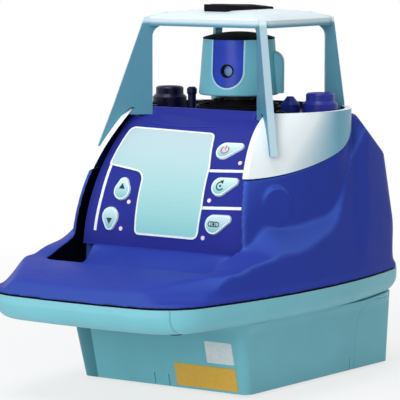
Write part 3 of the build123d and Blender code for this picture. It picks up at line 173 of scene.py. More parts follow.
# Distances from the middle between which the floor grows white, and how white it shows at each
FLOOR_GLOW = (0.2, 0.7, 0.72, 1.0)
SKY_TONE = (0.92, 0.97, 1.0, 1)
SKY_STRENGTH = 0.5
WHITE = (1, 1, 1, 1)


def make_camera():
    data = bpy.data.cameras.new("camera")
    data.sensor_width = CAMERA_SENSOR
    data.lens = CAMERA_LENS
    data.clip_start = CAMERA_NEAR
    data.clip_end = CAMERA_FAR
    camera = bpy.data.objects.new("camera", data)
    scene.collection.objects.link(camera)
    camera.location = CAMERA_AT
    camera.rotation_euler = CAMERA_WAY.to_track_quat("-Z", "Y").to_euler()
    scene.camera = camera


def seen_directly(nt):
    """1 for rays that show the surroundings, 0 for rays that light the object."""
    path = node(nt, "LightPath")
    share = path.outputs["Is Camera Ray"]
    for name in ("Is Glossy Ray", "Is Transmission Ray"):
        share = sums(nt, "MAXIMUM", share, path.outputs[name])
    return share


def make_floor():
    """Pale floor that shows as white further out and keeps a soft shadow near the object."""
    half = FLOOR_HALF
    corners = [(-half, -half, 0), (half, -half, 0), (half, half, 0), (-half, half, 0)]
    mesh = bpy.data.meshes.new("floor")
    mesh.from_pydata(corners, [], [(0, 1, 2, 3)])
    floor = bpy.data.objects.new("floor", mesh)
    scene.collection.objects.link(floor)
    material, nt, shader = fresh("floor")
    shader.inputs["Base Color"].default_value = FLOOR_TONE
    shader.inputs["Roughness"].default_value = FLOOR_ROUGH
    far = node(nt, "VectorMath", operation="LENGTH")
    put(nt, node(nt, "NewGeometry").outputs["Position"], far.inputs[0])
    share = times(nt, seen_directly(nt), span(nt, far.outputs["Value"], *FLOOR_GLOW))
    shown = mix_shader(nt, share, shader.outputs[0], node(nt, "Emission").outputs[0])
    put(nt, shown, nt.nodes["Material Output"].inputs["Surface"])
    mesh.materials.append(material)


def make_world():
    """Soft light for the object, seen as plain white."""
    world = bpy.data.worlds.new("studio")
    scene.world = world
    world.use_nodes = True
    nt = world.node_tree
    nt.nodes.clear()
    soft = node(nt, "Background")
    soft.inputs["Color"].default_value = SKY_TONE
    soft.inputs["Strength"].default_value = SKY_STRENGTH
    white = node(nt, "Background")
    white.inputs["Color"].default_value = WHITE
    shown = mix_shader(nt, seen_directly(nt), soft.outputs[0], white.outputs[0])
    put(nt, shown, node(nt, "OutputWorld").inputs[0])


def lamp(name, place, target, size, power):
    data = bpy.data.lights.new(name, "AREA")
    data.shape = "RECTANGLE"
    data.size, data.size_y = size
    data.energy = power
    light = bpy.data.objects.new(name, data)
    scene.collection.objects.link(light)
    light.location = place
    aim = Vector(target) - Vector(place)
    light.rotation_euler = aim.to_track_quat("-Z", "Y").to_euler()


make_camera()
make_floor()
make_world()
lamp("overhead", place=(-0.15, -0.4, 1.7), target=(0, -0.03, 0.1), size=(0.9, 0.9), power=12)
lamp("front", place=(0.35, -1.75, 0.7), target=(0, -0.03, 0.12), size=(0.8, 0.8), power=15)


# Tones that change over one moulding: painted light, painted shade and faint mould lines. Pairs are
# where a change starts and ends, in metres or as a share of the skin's direction. The depth range of the
# painted shade at the base's left corner also says how strong the tone is at both.

# Painted shade in the slots beside the panel
SLOT_INWARD = (-0.45, -0.6)
SLOT_NEAR = (0.0500, 0.0505)
SLOT_FAR = (0.0690, 0.0685)
SLOT_SHADE = srgb(6, 6, 12)
# Painted sheen on the blue slopes that lean back
LEAN_START = (0.18, 0.50)
LEAN_END = (0.55, 0.85)
LEAN_Z = (0.070, 0.076)
LEAN_SHEEN_BLUE = srgb(62, 89, 181)
# Painted shade on the collar's side towards the head
COLLAR_INSIDE = (-0.01, -0.02)
COLLAR_SHADE = srgb(16, 16, 58)
# Painted shade on the cage's feet and painted light on its roof
CAGE_UP = (0.5, 0.7)
CAGE_FOOT_Z = (0.1720, 0.1700)
CAGE_FOOT_SHADE = srgb(20, 24, 44)
ROOF_Z = (0.2175, 0.2195)
ROOF_SHARE = 0.85
ROOF_LIT = srgb(224, 236, 240)
MOULD_X = 0.064
MOULD_HALF = (0.0006, 0.0002)
MOULD_Y = (-0.130, -0.135)
MOULD_SHARE = 0.3
MOULD_DARK = srgb(40, 70, 84)
# Painted shade on the left front corner of the base
CORNER_SHADE_X = (-0.0492, -0.0500)
CORNER_SHADE_DEPTH = (-0.068, -0.051, 0.3, 0.75)
CORNER_SHADE_Y = (-0.070, -0.074)
CORNER_SHADE_Z = (0.0455, 0.0445)
CORNER_SHADE_TONE = srgb(34, 106, 122)
# Painted shade on the cap and the stud on the left
LEFT_X = (-0.010, -0.014)
LEFT_SHARE = 0.88
LEFT_SHADE = srgb(9, 8, 26)


def slot_shade_paint(nt, tone):
    """Painted shade: black on the walls of the slots beside the panel and of the ends of the pocket."""
    x = axis(nt, spot(nt), "X")
    way = times(nt, axis(nt, spot(nt, "Normal"), "X"), sums(nt, "SIGN", x))
    far = sums(nt, "ABSOLUTE", x)
    share = times(nt, span(nt, way, *SLOT_INWARD), span(nt, far, *SLOT_NEAR), span(nt, far, *SLOT_FAR))
    return blendc(nt, share, tone, SLOT_SHADE)


def sheen_and_slot_shade(nt, tone):
    """Painted sheen: brighter blue on slopes that lean back from upright; and the painted shade in the
    slots.
    """
    lean = dot(nt, spot(nt, "Normal"), (0, 0, 1))
    height = axis(nt, spot(nt), "Z")
    share = times(nt, span(nt, lean, *LEAN_START), span(nt, lean, *LEAN_END, 1.0, 0.0))
    share = times(nt, share, span(nt, height, *LEAN_Z))
    return slot_shade_paint(nt, blendc(nt, share, tone, LEAN_SHEEN_BLUE))


def shade_facing_head(nt, tone):
    """Painted shade on the side that faces the head."""
    level = node(nt, "VectorMath", operation="MULTIPLY")
    put(nt, spot(nt), level.inputs[0])
    level.inputs[1].default_value = (1, 1, 0)
    out = dot(nt, spot(nt, "Normal"), level.outputs[0])
    return blendc(nt, span(nt, out, *COLLAR_INSIDE), tone, COLLAR_SHADE)


def lit_roof_shaded_feet(nt, tone):
    """Painted light on the roof and on the top of its rim, and painted shade on the feet on the deck."""
    height = axis(nt, spot(nt), "Z")
    up = span(nt, axis(nt, spot(nt, "Normal"), "Z"), *CAGE_UP)
    tone = blendc(nt, times(nt, span(nt, height, *CAGE_FOOT_Z), up), tone, CAGE_FOOT_SHADE)
    return blendc(nt, span(nt, height, *ROOF_Z, 0.0, ROOF_SHARE), tone, ROOF_LIT)


def mould_line_and_corner_shade(nt, tone):
    """Faint lines where the slides of the mould met, at both front corners of the rim, and painted shade
    on the left end of the base's front."""
    x, y, z = (axis(nt, spot(nt), letter) for letter in "XYZ")
    off = sums(nt, "ABSOLUTE", sums(nt, "SUBTRACT", sums(nt, "ABSOLUTE", x), MOULD_X))
    line = times(nt, span(nt, off, *MOULD_HALF, 0.0, MOULD_SHARE), span(nt, y, *MOULD_Y))
    tone = blendc(nt, line, tone, MOULD_DARK)
    # Painted shade on the left front corner of the base
    step = times(nt, span(nt, x, *CORNER_SHADE_X), span(nt, x, *CORNER_SHADE_DEPTH))
    step = times(nt, step, times(nt, span(nt, z, *CORNER_SHADE_Z), span(nt, y, *CORNER_SHADE_Y)))
    return blendc(nt, step, tone, CORNER_SHADE_TONE)


def left_shade_paint(nt, tone):
    """Painted shade: the cap and the stud on the left are nearly black."""
    x = axis(nt, spot(nt), "X")
    return blendc(nt, span(nt, x, *LEFT_X, 0.0, LEFT_SHARE), tone, LEFT_SHADE)


# Kinds of material

SCUFF_R, SCUFF_TINT = 0.0009, 1.9
EDGE_HIGHLIGHT_R, EDGE_HIGHLIGHT_SHARE = 0.0011, 0.6
# How much an eased skin turns from the real one where an edge's wear and painted highlight start and
# where they are full
EDGE_TURN = (0.015, 0.22)
# Most noise lies in this part of its range
MIDDLE = (0.3, 0.7)
DUST_AND_SHEEN_TONE = srgb(110, 112, 115)
CELL_START, CELL_LONG = -0.0485, 0.0615
CELL_METAL, CELL_SLEEVE, CELL_BAND = srgb(185, 188, 190), srgb(38, 40, 46), srgb(168, 130, 62)


def worn_edge(nt, radius, patchy=True):
    """Share that grows towards sharp edges, broken up by noise if patchy."""
    eased = node(nt, "Bevel", samples=4)
    eased.inputs["Radius"].default_value = radius
    turn = dot(nt, eased.outputs["Normal"], node(nt, "NewGeometry").outputs["Normal"])
    edge = span(nt, sums(nt, "SUBTRACT", 1.0, turn), *EDGE_TURN)
    if not patchy:
        return edge
    return times(nt, edge, span(nt, noise(nt, spot(nt), 260, 4), 0.38, 0.62))


def plastic(name, colour, rough=0.42, grain=1500.0, depth=0.10, mottle=0.05, wear=0.35, shine=0.5,
            painted_light=None, edge=None, paint=None):
    """Moulded plastic: cloudy tone, fine grain and scuffed edges. The colour given for where the skin
    faces one way is painted light. The edge colour is a clean lighter line along edges: a painted
    highlight. paint: a function that changes the tone."""
    material, nt, bsdf = fresh(name)
    place = spot(nt)
    clouds = span(nt, noise(nt, place, 26, 4), *MIDDLE)
    tone = blendc(nt, clouds, tint(colour, 1 - mottle), tint(colour, 1 + mottle))
    # Painted light: a paler colour where the skin faces the given way
    if painted_light:
        lit_tone, way, low, high = painted_light
        tone = blendc(nt, span(nt, dot(nt, spot(nt, "Normal"), way), low, high), tone, lit_tone)
    if paint:
        tone = paint(nt, tone)
    # Painted highlight: a lighter line along the edges
    if edge:
        line = times(nt, worn_edge(nt, EDGE_HIGHLIGHT_R, patchy=False), EDGE_HIGHLIGHT_SHARE)
        tone = blendc(nt, line, tone, edge)
    share = times(nt, worn_edge(nt, SCUFF_R), wear)
    tone = blendc(nt, share, tone, tint(colour, SCUFF_TINT))
    put(nt, tone, bsdf.inputs["Base Color"])
    smear = noise(nt, place, 55, 5, 0.6)
    put(nt, span(nt, smear, 0.25, 0.75, rough - 0.07, rough + 0.08), bsdf.inputs["Roughness"])
    relief(nt, bsdf, noise(nt, place, grain, 2), depth, 0.0002)
    bsdf.inputs["Specular IOR Level"].default_value = shine
    return material


def rubber(name, colour, dust_and_sheen=0.08):
    """Dull rubber with a pebbled skin and a pale tone on top: a light dusting, which on the roof bar is
    strong enough to be painted sheen as well.
    """
    material, nt, bsdf = fresh(name)
    place = spot(nt)
    dust_and_sheen_share = span(nt, noise(nt, place, 70, 5), 0.3, 0.8, 0.0, dust_and_sheen)
    up = span(nt, axis(nt, spot(nt, "Normal"), "Z"), 0.0, 1.0)
    put(nt, blendc(nt, times(nt, dust_and_sheen_share, up), colour, DUST_AND_SHEEN_TONE), bsdf.inputs["Base Color"])
    put(nt, span(nt, noise(nt, place, 120, 3), *MIDDLE, 0.62, 0.82), bsdf.inputs["Roughness"])
    pebbles = node(nt, "TexVoronoi")
    put(nt, place, pebbles.inputs["Vector"])
    pebbles.inputs["Scale"].default_value = 900
    relief(nt, bsdf, pebbles.outputs["Distance"], 0.25, 0.0003)
    bsdf.inputs["Specular IOR Level"].default_value = 0.06
    return material


def metal(name, colour, rough=0.3):
    """Turned or drawn metal with fine lines across one axis."""
    material, nt, bsdf = fresh(name)
    lines = noise(nt, stretched(nt, spot(nt), (1, 1, 40)), 180, 4)
    tone = blendc(nt, span(nt, lines, *MIDDLE), tint(colour, 0.86), tint(colour, 1.1))
    put(nt, tone, bsdf.inputs["Base Color"])
    put(nt, span(nt, lines, *MIDDLE, rough - 0.08, rough + 0.12), bsdf.inputs["Roughness"])
    bsdf.inputs["Metallic"].default_value = 1.0
    relief(nt, bsdf, lines, 0.08, 0.0002)
    return material


def film(name, top, low, z_low, z_high, kind="Object"):
    """Printed keypad film: a slow change of tone up the panel under a satin skin, paler higher up as
    painted light.
    """
    material, nt, bsdf = fresh(name)
    place = spot(nt)
    # Painted light: paler higher up
    rise = span(nt, axis(nt, spot(nt, kind), "Z"), z_low, z_high)
    drift = sums(nt, "ADD", rise, span(nt, noise(nt, place, 30, 3), 0.0, 1.0, -0.08, 0.08))
    put(nt, blendc(nt, drift, low, top), bsdf.inputs["Base Color"])
    put(nt, span(nt, noise(nt, place, 90, 4), *MIDDLE, 0.3, 0.42), bsdf.inputs["Roughness"])
    relief(nt, bsdf, noise(nt, place, 2200, 2), 0.05, 0.0001)
    return material


def ink(name, colour, rough=0.4):
    """Screen-printed ink with a slightly uneven lay."""
    material, nt, bsdf = fresh(name)
    place = spot(nt)
    lay = span(nt, noise(nt, place, 400, 4), *MIDDLE)
    put(nt, blendc(nt, lay, tint(colour, 0.93), tint(colour, 1.05)), bsdf.inputs["Base Color"])
    smear = noise(nt, place, 700, 3)
    put(nt, span(nt, smear, *MIDDLE, rough - 0.05, rough + 0.1), bsdf.inputs["Roughness"])
    relief(nt, bsdf, lay, 0.05, 0.0001)
    return material


def gloss(name, colour, rough=0.12, coat=0.6, paint=None):
    """Polished plastic with faint swirl scratches. paint: a function that changes the tone."""
    material, nt, bsdf = fresh(name)
    place = spot(nt)
    clouds = span(nt, noise(nt, place, 60, 3), *MIDDLE)
    tone = blendc(nt, clouds, tint(colour, 0.85), tint(colour, 1.15))
    put(nt, paint(nt, tone) if paint else tone, bsdf.inputs["Base Color"])
    scratch = noise(nt, stretched(nt, place, (1, 9, 1)), 320, 5, 0.7)
    put(nt, span(nt, scratch, 0.35, 0.7, rough, rough + 0.12), bsdf.inputs["Roughness"])
    relief(nt, bsdf, scratch, 0.03, 0.0001)
    bsdf.inputs["Coat Weight"].default_value = coat
    bsdf.inputs["Coat Roughness"].default_value = 0.06
    bsdf.inputs["Specular IOR Level"].default_value = 0.2
    return material


def glass(name, colour):
    """Coated optical glass."""
    material, nt, bsdf = fresh(name)
    place = spot(nt)
    sheen = span(nt, noise(nt, place, 140, 2), *MIDDLE)
    put(nt, blendc(nt, sheen, colour, tint(colour, 1.3)), bsdf.inputs["Base Color"])
    put(nt, span(nt, noise(nt, place, 500, 3), *MIDDLE, 0.04, 0.10), bsdf.inputs["Roughness"])
    bsdf.inputs["Transmission Weight"].default_value = 0.75
    bsdf.inputs["IOR"].default_value = 1.5
    return material


def circuit(name):
    """Green board with paler copper runs."""
    material, nt, bsdf = fresh(name)
    place = spot(nt)
    runs = node(nt, "TexBrick")
    put(nt, place, runs.inputs["Vector"])
    runs.inputs["Scale"].default_value = 140
    runs.inputs["Mortar Size"].default_value = 0.03
    runs.inputs["Color1"].default_value = srgb(22, 84, 52)
    runs.inputs["Color2"].default_value = srgb(26, 92, 58)
    runs.inputs["Mortar"].default_value = srgb(70, 140, 90)
    put(nt, runs.outputs["Color"], bsdf.inputs["Base Color"])
    put(nt, span(nt, noise(nt, place, 300, 3), *MIDDLE, 0.35, 0.55), bsdf.inputs["Roughness"])
    relief(nt, bsdf, runs.outputs["Fac"], 0.2, 0.0001)
    return material


def cell_wrap(name):
    """Plain dry cell: dark sleeve, a coloured band towards one end, metal tips."""
    material, nt, bsdf = fresh(name)
    place = spot(nt)
    part = node(nt, "Math", operation="FRACT")
    reach = sums(nt, "SUBTRACT", axis(nt, place, "Y"), CELL_START)
    put(nt, sums(nt, "DIVIDE", reach, CELL_LONG), part.inputs[0])
    bands = node(nt, "ValToRGB")
    bands.color_ramp.interpolation = "CONSTANT"
    stops = bands.color_ramp.elements
    stops[0].position, stops[0].color = 0.0, CELL_METAL
    stops[1].position, stops[1].color = 0.03, CELL_SLEEVE
    stops.new(0.62).color = CELL_BAND
    stops.new(0.94).color = CELL_METAL
    put(nt, part.outputs[0], bands.inputs[0])
    put(nt, bands.outputs["Color"], bsdf.inputs["Base Color"])
    put(nt, span(nt, noise(nt, place, 160, 4), *MIDDLE, 0.22, 0.4), bsdf.inputs["Roughness"])
    bsdf.inputs["Metallic"].default_value = 0.3
    relief(nt, bsdf, noise(nt, place, 900, 2), 0.05, 0.0001)
    return material


def lamp_lens(name, colour):
    """Frosted lamp cap."""
    material, nt, bsdf = fresh(name)
    place = spot(nt)
    frost = span(nt, noise(nt, place, 500, 2), *MIDDLE)
    put(nt, blendc(nt, frost, colour, tint(colour, 1.2)), bsdf.inputs["Base Color"])
    put(nt, span(nt, noise(nt, place, 900, 2), *MIDDLE, 0.2, 0.35), bsdf.inputs["Roughness"])
    bsdf.inputs["Subsurface Weight"].default_value = 0.15
    bsdf.inputs["Subsurface Radius"].default_value = (0.001, 0.0006, 0.0006)
    return material


# The materials, and the nodes that they go on

# Painted light: paler where the skin faces up. The paint draws mould lines and painted shade at the
# base's left corner.
grey = plastic(
    "grey_plastic", srgb(120, 190, 202), shine=0.25,
    painted_light=(srgb(160, 210, 219), (0, -0.2, 0.97), 0.12, 0.65), paint=mould_line_and_corner_shade,
)
# A little darker than the base's grey, standing in for the shade on the head: painted shade
rotor_shaded_grey = plastic("rotor_plastic", srgb(106, 177, 193), shine=0.2, depth=0.06)
# Painted shade and painted light: teal on upright faces, pale where the skin faces up, paler on the
# roof, dark on the feet.
cage_grey = plastic(
    "cage_plastic", srgb(80, 138, 160), rough=0.4, shine=0.25,
    painted_light=(srgb(206, 226, 234), (0, 0, 1), 0.1, 0.5), paint=lit_roof_shaded_feet,
)
# Painted light: near white where the skin faces the front and up; painted shade on the side towards the
# head.
trim = plastic(
    "collar_plastic", srgb(108, 172, 194), rough=0.38, shine=0.25,
    painted_light=(srgb(238, 245, 247), (0, -0.8, 0.6), 0.0, 0.3), paint=shade_facing_head,
)
# Painted light: lighter where the skin faces the front; painted sheen on slopes and painted shade in the
# slots.
blue = plastic(
    "blue_plastic", srgb(47, 64, 160), rough=0.42, shine=0.02, wear=0.05, depth=0.05,
    painted_light=(srgb(58, 79, 162), (0, -1, 0), 0.3, 0.95), paint=sheen_and_slot_shade,
)
deck_blue = plastic("deck_plastic", srgb(8, 8, 20), rough=0.5, shine=0.1, wear=0.1)
# Painted highlight: the edge colour is a lighter line along the edges.
panel_blue = plastic(
    "panel_plastic", srgb(42, 50, 142), rough=0.38, shine=0.08, wear=0.06, depth=0.05,
    edge=srgb(70, 84, 180),
)
# Both films are paler higher up, on the panel and on each key: painted light
overlay = film("keypad_film", srgb(186, 206, 213), srgb(140, 208, 206), 0.092, 0.155)
key_white = plastic(
    "key_plastic", srgb(226, 240, 242), rough=0.35, grain=2200, depth=0.05, mottle=0.03, wear=0.1,
)
key_film = film("key_film", srgb(206, 232, 234), srgb(128, 194, 198), 0.1, 0.9, "Generated")
white_ink = ink("white_ink", srgb(238, 244, 246))
dark_ink = ink("dark_ink", srgb(28, 40, 52))
red_ink = ink("red_ink", srgb(214, 66, 110))
plate_white = ink("plate_white", srgb(226, 230, 232), 0.3)
plate_yellow = ink("plate_yellow", srgb(226, 176, 60), 0.3)
bead_pale = ink("bead_plastic", srgb(176, 214, 224))
lamps = lamp_lens("lamp_lens", srgb(236, 206, 226))
black_rubber = rubber("black_rubber", srgb(14, 14, 16))
# The bar's strong pale top is dusting and painted sheen
bar_rubber = rubber("bar_rubber", srgb(20, 19, 26), dust_and_sheen=0.5)
black_plastic = plastic("black_plastic", srgb(10, 10, 13), rough=0.5, shine=0.04, wear=0.1)
# Painted shade on the left cap and stud
cap_gloss = gloss("cap_gloss", srgb(32, 42, 138), rough=0.3, coat=0.05, paint=left_shade_paint)
pane_gloss = gloss("window_gloss", srgb(32, 62, 174), rough=0.34, coat=0.03)
lens_coat = gloss("lens_coat", srgb(126, 164, 226), rough=0.1, coat=0.4)
lens_glass = glass("lens_glass", srgb(150, 170, 205))
vial_glass = glass("vial_glass", srgb(190, 220, 120))
dark_steel = metal("dark_steel", srgb(44, 45, 48), rough=0.42)
black_cast = metal("black_cast", srgb(16, 16, 18), rough=0.6)
steel = metal("steel", srgb(176, 180, 184))
alloy = metal("cast_alloy", srgb(150, 154, 158), rough=0.45)
brass = metal("brass", srgb(196, 158, 84), rough=0.3)
board = circuit("circuit_board")
cells = cell_wrap("cell_sleeve")

LOOKS = {
    grey: "lower_housing battery_cover",
    rotor_shaded_grey: "rotor_shell side_port",
    cage_grey: "cage",
    trim: "collar",
    blue: "upper_housing",
    deck_blue: "deck_plate",
    panel_blue: "control_panel",
    overlay: "keypad_overlay",
    key_white: "key_power key_speed key_manual key_up key_down",
    lamps: "indicator_leds",
    black_rubber: "housing_seal roof_grip_pad bellows rubber_feet cover_feet cover_gasket drive_belt",
    black_plastic: "bellows_ring bellows_cuff rotor_cap aperture_barrel battery_cradle latch_knob "
                   "leveling_motor_x leveling_motor_y",
    cap_gloss: "deck_caps deck_studs",
    pane_gloss: "window_panel",
    lens_coat: "aperture_lens",
    lens_glass: "collimator_lens pentaprism",
    vial_glass: "level_vials",
    steel: "latch_stud gimbal_pins battery_contacts key_switches leveling_plunger_x "
           "leveling_plunger_y rotor_motor motor_pulley",
    dark_steel: "cage_screws housing_screws spindle spindle_bearings",
    alloy: "chassis gimbal_ring spindle_pulley",
    black_cast: "laser_frame",
    brass: "gimbal_bushes laser_diode tripod_insert",
    board: "main_board keypad_board",
    cells: "battery_cells",
}


def dress(mesh, material):
    mesh.materials.clear()
    mesh.materials.append(material)


for look, names in LOOKS.items():
    for node_name in names.split():
        dress(nodes[node_name].data, look)


# Outlines in the flat, in millimetres as all shapes below but the upper shell

def along(points, step, closed=False):
    """The same line with a point every step or so."""
    out = []
    for (x0, y0), (x1, y1) in zip(points, points[1:] + points[:1] if closed else points[1:]):
        count = max(1, math.ceil(math.hypot(x1 - x0, y1 - y0) / step))
        out += [(x0 + (x1 - x0) * i / count, y0 + (y1 - y0) * i / count) for i in range(count)]
    return out if closed else out + [points[-1]]


def rounded(points, radii, steps=6):
    """Closed outline with its corners rounded, by one radius or by one for each corner."""
    out = []
    count = len(points)
    for i in range(count):
        radius = radii[i] if isinstance(radii, list) else radii
        before, corner, after = (Vector(points[(i + k) % count]) for k in (-1, 0, 1))
        a, b = before - corner, after - corner
        most = 0.45 * min(a.length, b.length)
        a.normalize()
        b.normalize()
        half = a.angle(b) / 2
        reach = min(radius / math.tan(half), most)
        start, end = corner + a * reach, corner + b * reach
        middle = corner + (a + b).normalized() * (reach / math.cos(half))
        size = (start - middle).length
        for k in range(steps + 1):
            share = k / steps
            way = ((start - middle) * (1 - share) + (end - middle) * share).normalized()
            out.append(tuple(middle + way * size))
    return out


def sides(points, shift, closed):
    """The line moved to its left by shift."""
    out = []
    count = len(points)
    for i in range(count):
        before = Vector(points[i - 1] if closed or i else points[0])
        after = Vector(points[(i + 1) % count] if closed or i < count - 1 else points[-1])
        way = (after - before).normalized()
        out.append((points[i][0] - way.y * shift, points[i][1] + way.x * shift))
    return out


def circle(x, y, radius, count, start=0.0, turn=360.0):
    """Points round a circle, or along a part of it with both ends."""
    steps = count if turn >= 360 else count - 1
    angles = [math.radians(start + turn * i / steps) for i in range(count)]
    return [(x + radius * math.cos(angle), y + radius * math.sin(angle)) for angle in angles]


def hull(big, small):
    """Outline round two circles given as x, y, radius."""
    points = circle(*big, 48) + circle(*small, 48)
    points = sorted(set((round(x, 5), round(y, 5)) for x, y in points))

    def turns_in(a, b, c):
        return (b[0] - a[0]) * (c[1] - a[1]) <= (b[1] - a[1]) * (c[0] - a[0])

    def half(row):
        out = []
        for p in row:
            while len(out) > 1 and turns_in(out[-2], out[-1], p):
                out.pop()
            out.append(p)
        return out[:-1]
    return half(points) + half(points[::-1])


# Pieces

def piece(name, verts, faces, body, material, smooth=False):
    mesh = bpy.data.meshes.new(name)
    mesh.from_pydata([tuple(v * MM) for v in verts], [], faces)
    bm = bmesh.new()
    bm.from_mesh(mesh)
    bmesh.ops.remove_doubles(bm, verts=bm.verts, dist=1e-7)
    bmesh.ops.recalc_face_normals(bm, faces=bm.faces)
    bm.to_mesh(mesh)
    bm.free()
    for face in mesh.polygons:
        face.use_smooth = smooth
    dress(mesh, material)
    obj = bpy.data.objects.new(name, mesh)
    scene.collection.objects.link(obj)
    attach(obj, body)
    return obj


class Marks:
    """Flat marks gathered into one piece. place puts a point x, y at a height over the surface, and the
    marks lie between two such heights."""

    def __init__(self, place, low, high):
        self.place, self.low, self.high = place, low, high
        self.verts, self.faces = [], []

    def add(self, rows, faces):
        """Rows of points with the height of each row, and faces that count from the first of them."""
        base = len(self.verts)
        for row, out in rows:
            self.verts += [self.place(x, y, out) for x, y in row]
        self.faces += [tuple(base + k for k in face) for face in faces]

    def fill(self, outline):
        """Plate with a convex outline."""
        count = len(outline)
        faces = [tuple(range(count)), tuple(count + i for i in reversed(range(count)))]
        for i in range(count):
            j = (i + 1) % count
            faces.append((i, j, count + j, count + i))
        self.add([(outline, self.low), (outline, self.high)], faces)

    def line(self, points, width, closed=False):
        """Band along a line."""
        outer, inner = sides(points, width / 2, closed), sides(points, -width / 2, closed)
        count = len(points)
        faces = []
        for i in range(count if closed else count - 1):
            j = (i + 1) % count
            for a, b in ((0, 1), (1, 2), (2, 3), (3, 0)):
                faces.append((a * count + i, a * count + j, b * count + j, b * count + i))
        if not closed:
            faces += [tuple(k * count + i for k in range(4)) for i in (0, count - 1)]
        rows = [(outer, self.low), (inner, self.low), (inner, self.high), (outer, self.high)]
        self.add(rows, faces)

    def make(self, name, body, material):
        piece(name, self.verts, self.faces, body, material)


# Places on the curved control panel, by X and the arc up the panel

PANEL_Y, PANEL_Z, FACE_R = 6.2, 87.3, 86.7
FILM_MIDDLE = 40.0
FILM_OUT = 0.6
KEY_OUT = 1.0


def on_panel(x, arc, out):
    turn = arc / FACE_R
    reach = FACE_R + out
    return Vector((x, PANEL_Y - reach * math.cos(turn), PANEL_Z + reach * math.sin(turn)))


def on_film(x, y, out):
    """The film's outline is drawn on the flat that touches the panel at the film's middle."""
    return on_panel(x, FILM_MIDDLE + FACE_R * math.asin(y / FACE_R), FILM_OUT + out)


def on_key(x, arc):
    """Placing function for marks on the flat face of a key."""
    turn = arc / FACE_R
    origin = on_panel(x, arc, KEY_OUT)
    normal = Vector((0, -math.cos(turn), math.sin(turn)))
    up = Vector((0, math.sin(turn), math.cos(turn)))

    def place(dx, dy, out):
        return origin + Vector((dx, 0, 0)) + up * dy + normal * out
    return place


# Film on the panel, its border and the printed lines

# Corners of the film: X, arc up the panel and radius
FILM_CORNERS = [
    (-45.6, 76.2, 4.0), (18.4, 74.2, 5.0), (25.8, 49.6, 4.0), (26.2, 44.0, 4.0), (27.5, 24.0, 8.0),
    (26.2, 4.5, 4.5), (-20.8, 4.7, 3.0), (-21.3, 42.9, 6.5), (-48.8, 46.8, 1.5),
]
FILM_THICK = 0.5
FILM_GRID = 3.0
PRINT_STEP = 1.5
BORDER_WIDE, BORDER_THICK = 1.1, 0.12
LINE_THICK = 0.15
# Width and points of each printed line
PRINT_LINES = [
    (2.0, [(-47.6, 47.6), (-48.9, 26.0), (-51.2, 5.2)]),
    (1.8, [(26.0, 47.2), (53.6, 48.4)]),
    (1.8, [(27.2, 23.8), (55.4, 25.1)]),
]


def film_edge():
    corners = [(x, FACE_R * math.sin((arc - FILM_MIDDLE) / FACE_R)) for x, arc, _ in FILM_CORNERS]
    radii = [radius for _, _, radius in FILM_CORNERS]
    return along(rounded(corners, radii), PRINT_STEP, closed=True)


def film_sheet(edge):
    """Thin sheet with the film's outline, bent with the panel."""
    inner = []
    left, low = (min(p[k] for p in edge) for k in (0, 1))
    across, up = (max(p[k] for p in edge) - start for k, start in ((0, left), (1, low)))
    for i in range(1, int(across / FILM_GRID)):
        x = left + i * FILM_GRID
        inner += [(x, low + j * FILM_GRID) for j in range(1, int(up / FILM_GRID))]
    outline = [list(range(len(edge)))]
    made = delaunay_2d_cdt([Vector(p) for p in edge + inner], [], outline, 1, 0.01)
    spots, top = made[0], [tuple(f) for f in made[2]]
    count = len(spots)
    verts = [on_film(p.x, p.y, out) for out in (0.0, -FILM_THICK) for p in spots]
    used = {(f[k - 1], f[k]) for f in top for k in range(len(f))}
    rim = sorted((a, b) for a, b in used if (b, a) not in used)
    under = [tuple(count + i for i in reversed(f)) for f in top]
    walls = [(b, a, count + a, count + b) for a, b in rim]
    sheet = piece("keypad_film", verts, top + under + walls, "housing", overlay)
    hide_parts("keypad_overlay")


edge_line = film_edge()
film_sheet(edge_line)
border = Marks(on_film, 0.0, BORDER_THICK)
border.line(sides(edge_line, -BORDER_WIDE / 2, True), BORDER_WIDE, closed=True)
border.make("film_border", "housing", white_ink)
panel_lines = Marks(on_panel, 0.0, LINE_THICK)
for width, points in PRINT_LINES:
    panel_lines.line(along(points, PRINT_STEP), width)
panel_lines.make("panel_lines", "housing", white_ink)


# Films and signs on the keys

PAD_INSET = 1.25
PAD_THICK = 0.15
SIGN_THICK = 0.12


def power_sign(mark):
    mark.line(circle(-2.6, -0.4, 2.6, 24, 125, 290), 0.85)
    mark.line([(-2.6, -0.2), (-2.6, 2.9)], 0.85)


def turn_sign(mark):
    mark.line(circle(-2.4, -0.4, 2.5, 24, 60, 270), 0.8)
    mark.fill([(-0.6, 3.4), (-2.9, 3.0), (-0.9, 0.9)])
    mark.fill(circle(-2.4, -0.4, 0.8, 16))


def cell_sign(mark):
    case = rounded([(-6.2, -1.7), (1.4, -1.7), (1.4, 0.9), (-6.2, 0.9)], 1.2)
    mark.line(case, 0.6, closed=True)
    mark.fill(circle(-2.4, -0.4, 0.85, 16))
    for x in (-4.2, -0.6):
        mark.line([(x, -1.4), (x, 0.6)], 0.45)


def up_sign(mark):
    mark.fill([(0, 3.3), (-2.2, -0.4), (2.2, -0.4)])


def down_sign(mark):
    mark.fill([(2.2, 0.4), (-2.2, 0.4), (0, -3.3)])


def right_key_outline():
    return hull((-3.0, -0.6, 6.0 - PAD_INSET), (6.8, 3.0, 2.6 - PAD_INSET))


def left_key_outline(way):
    return hull((0, -way * 1.3, 6.0 - PAD_INSET), (0, way * 3.6, 3.6 - PAD_INSET))


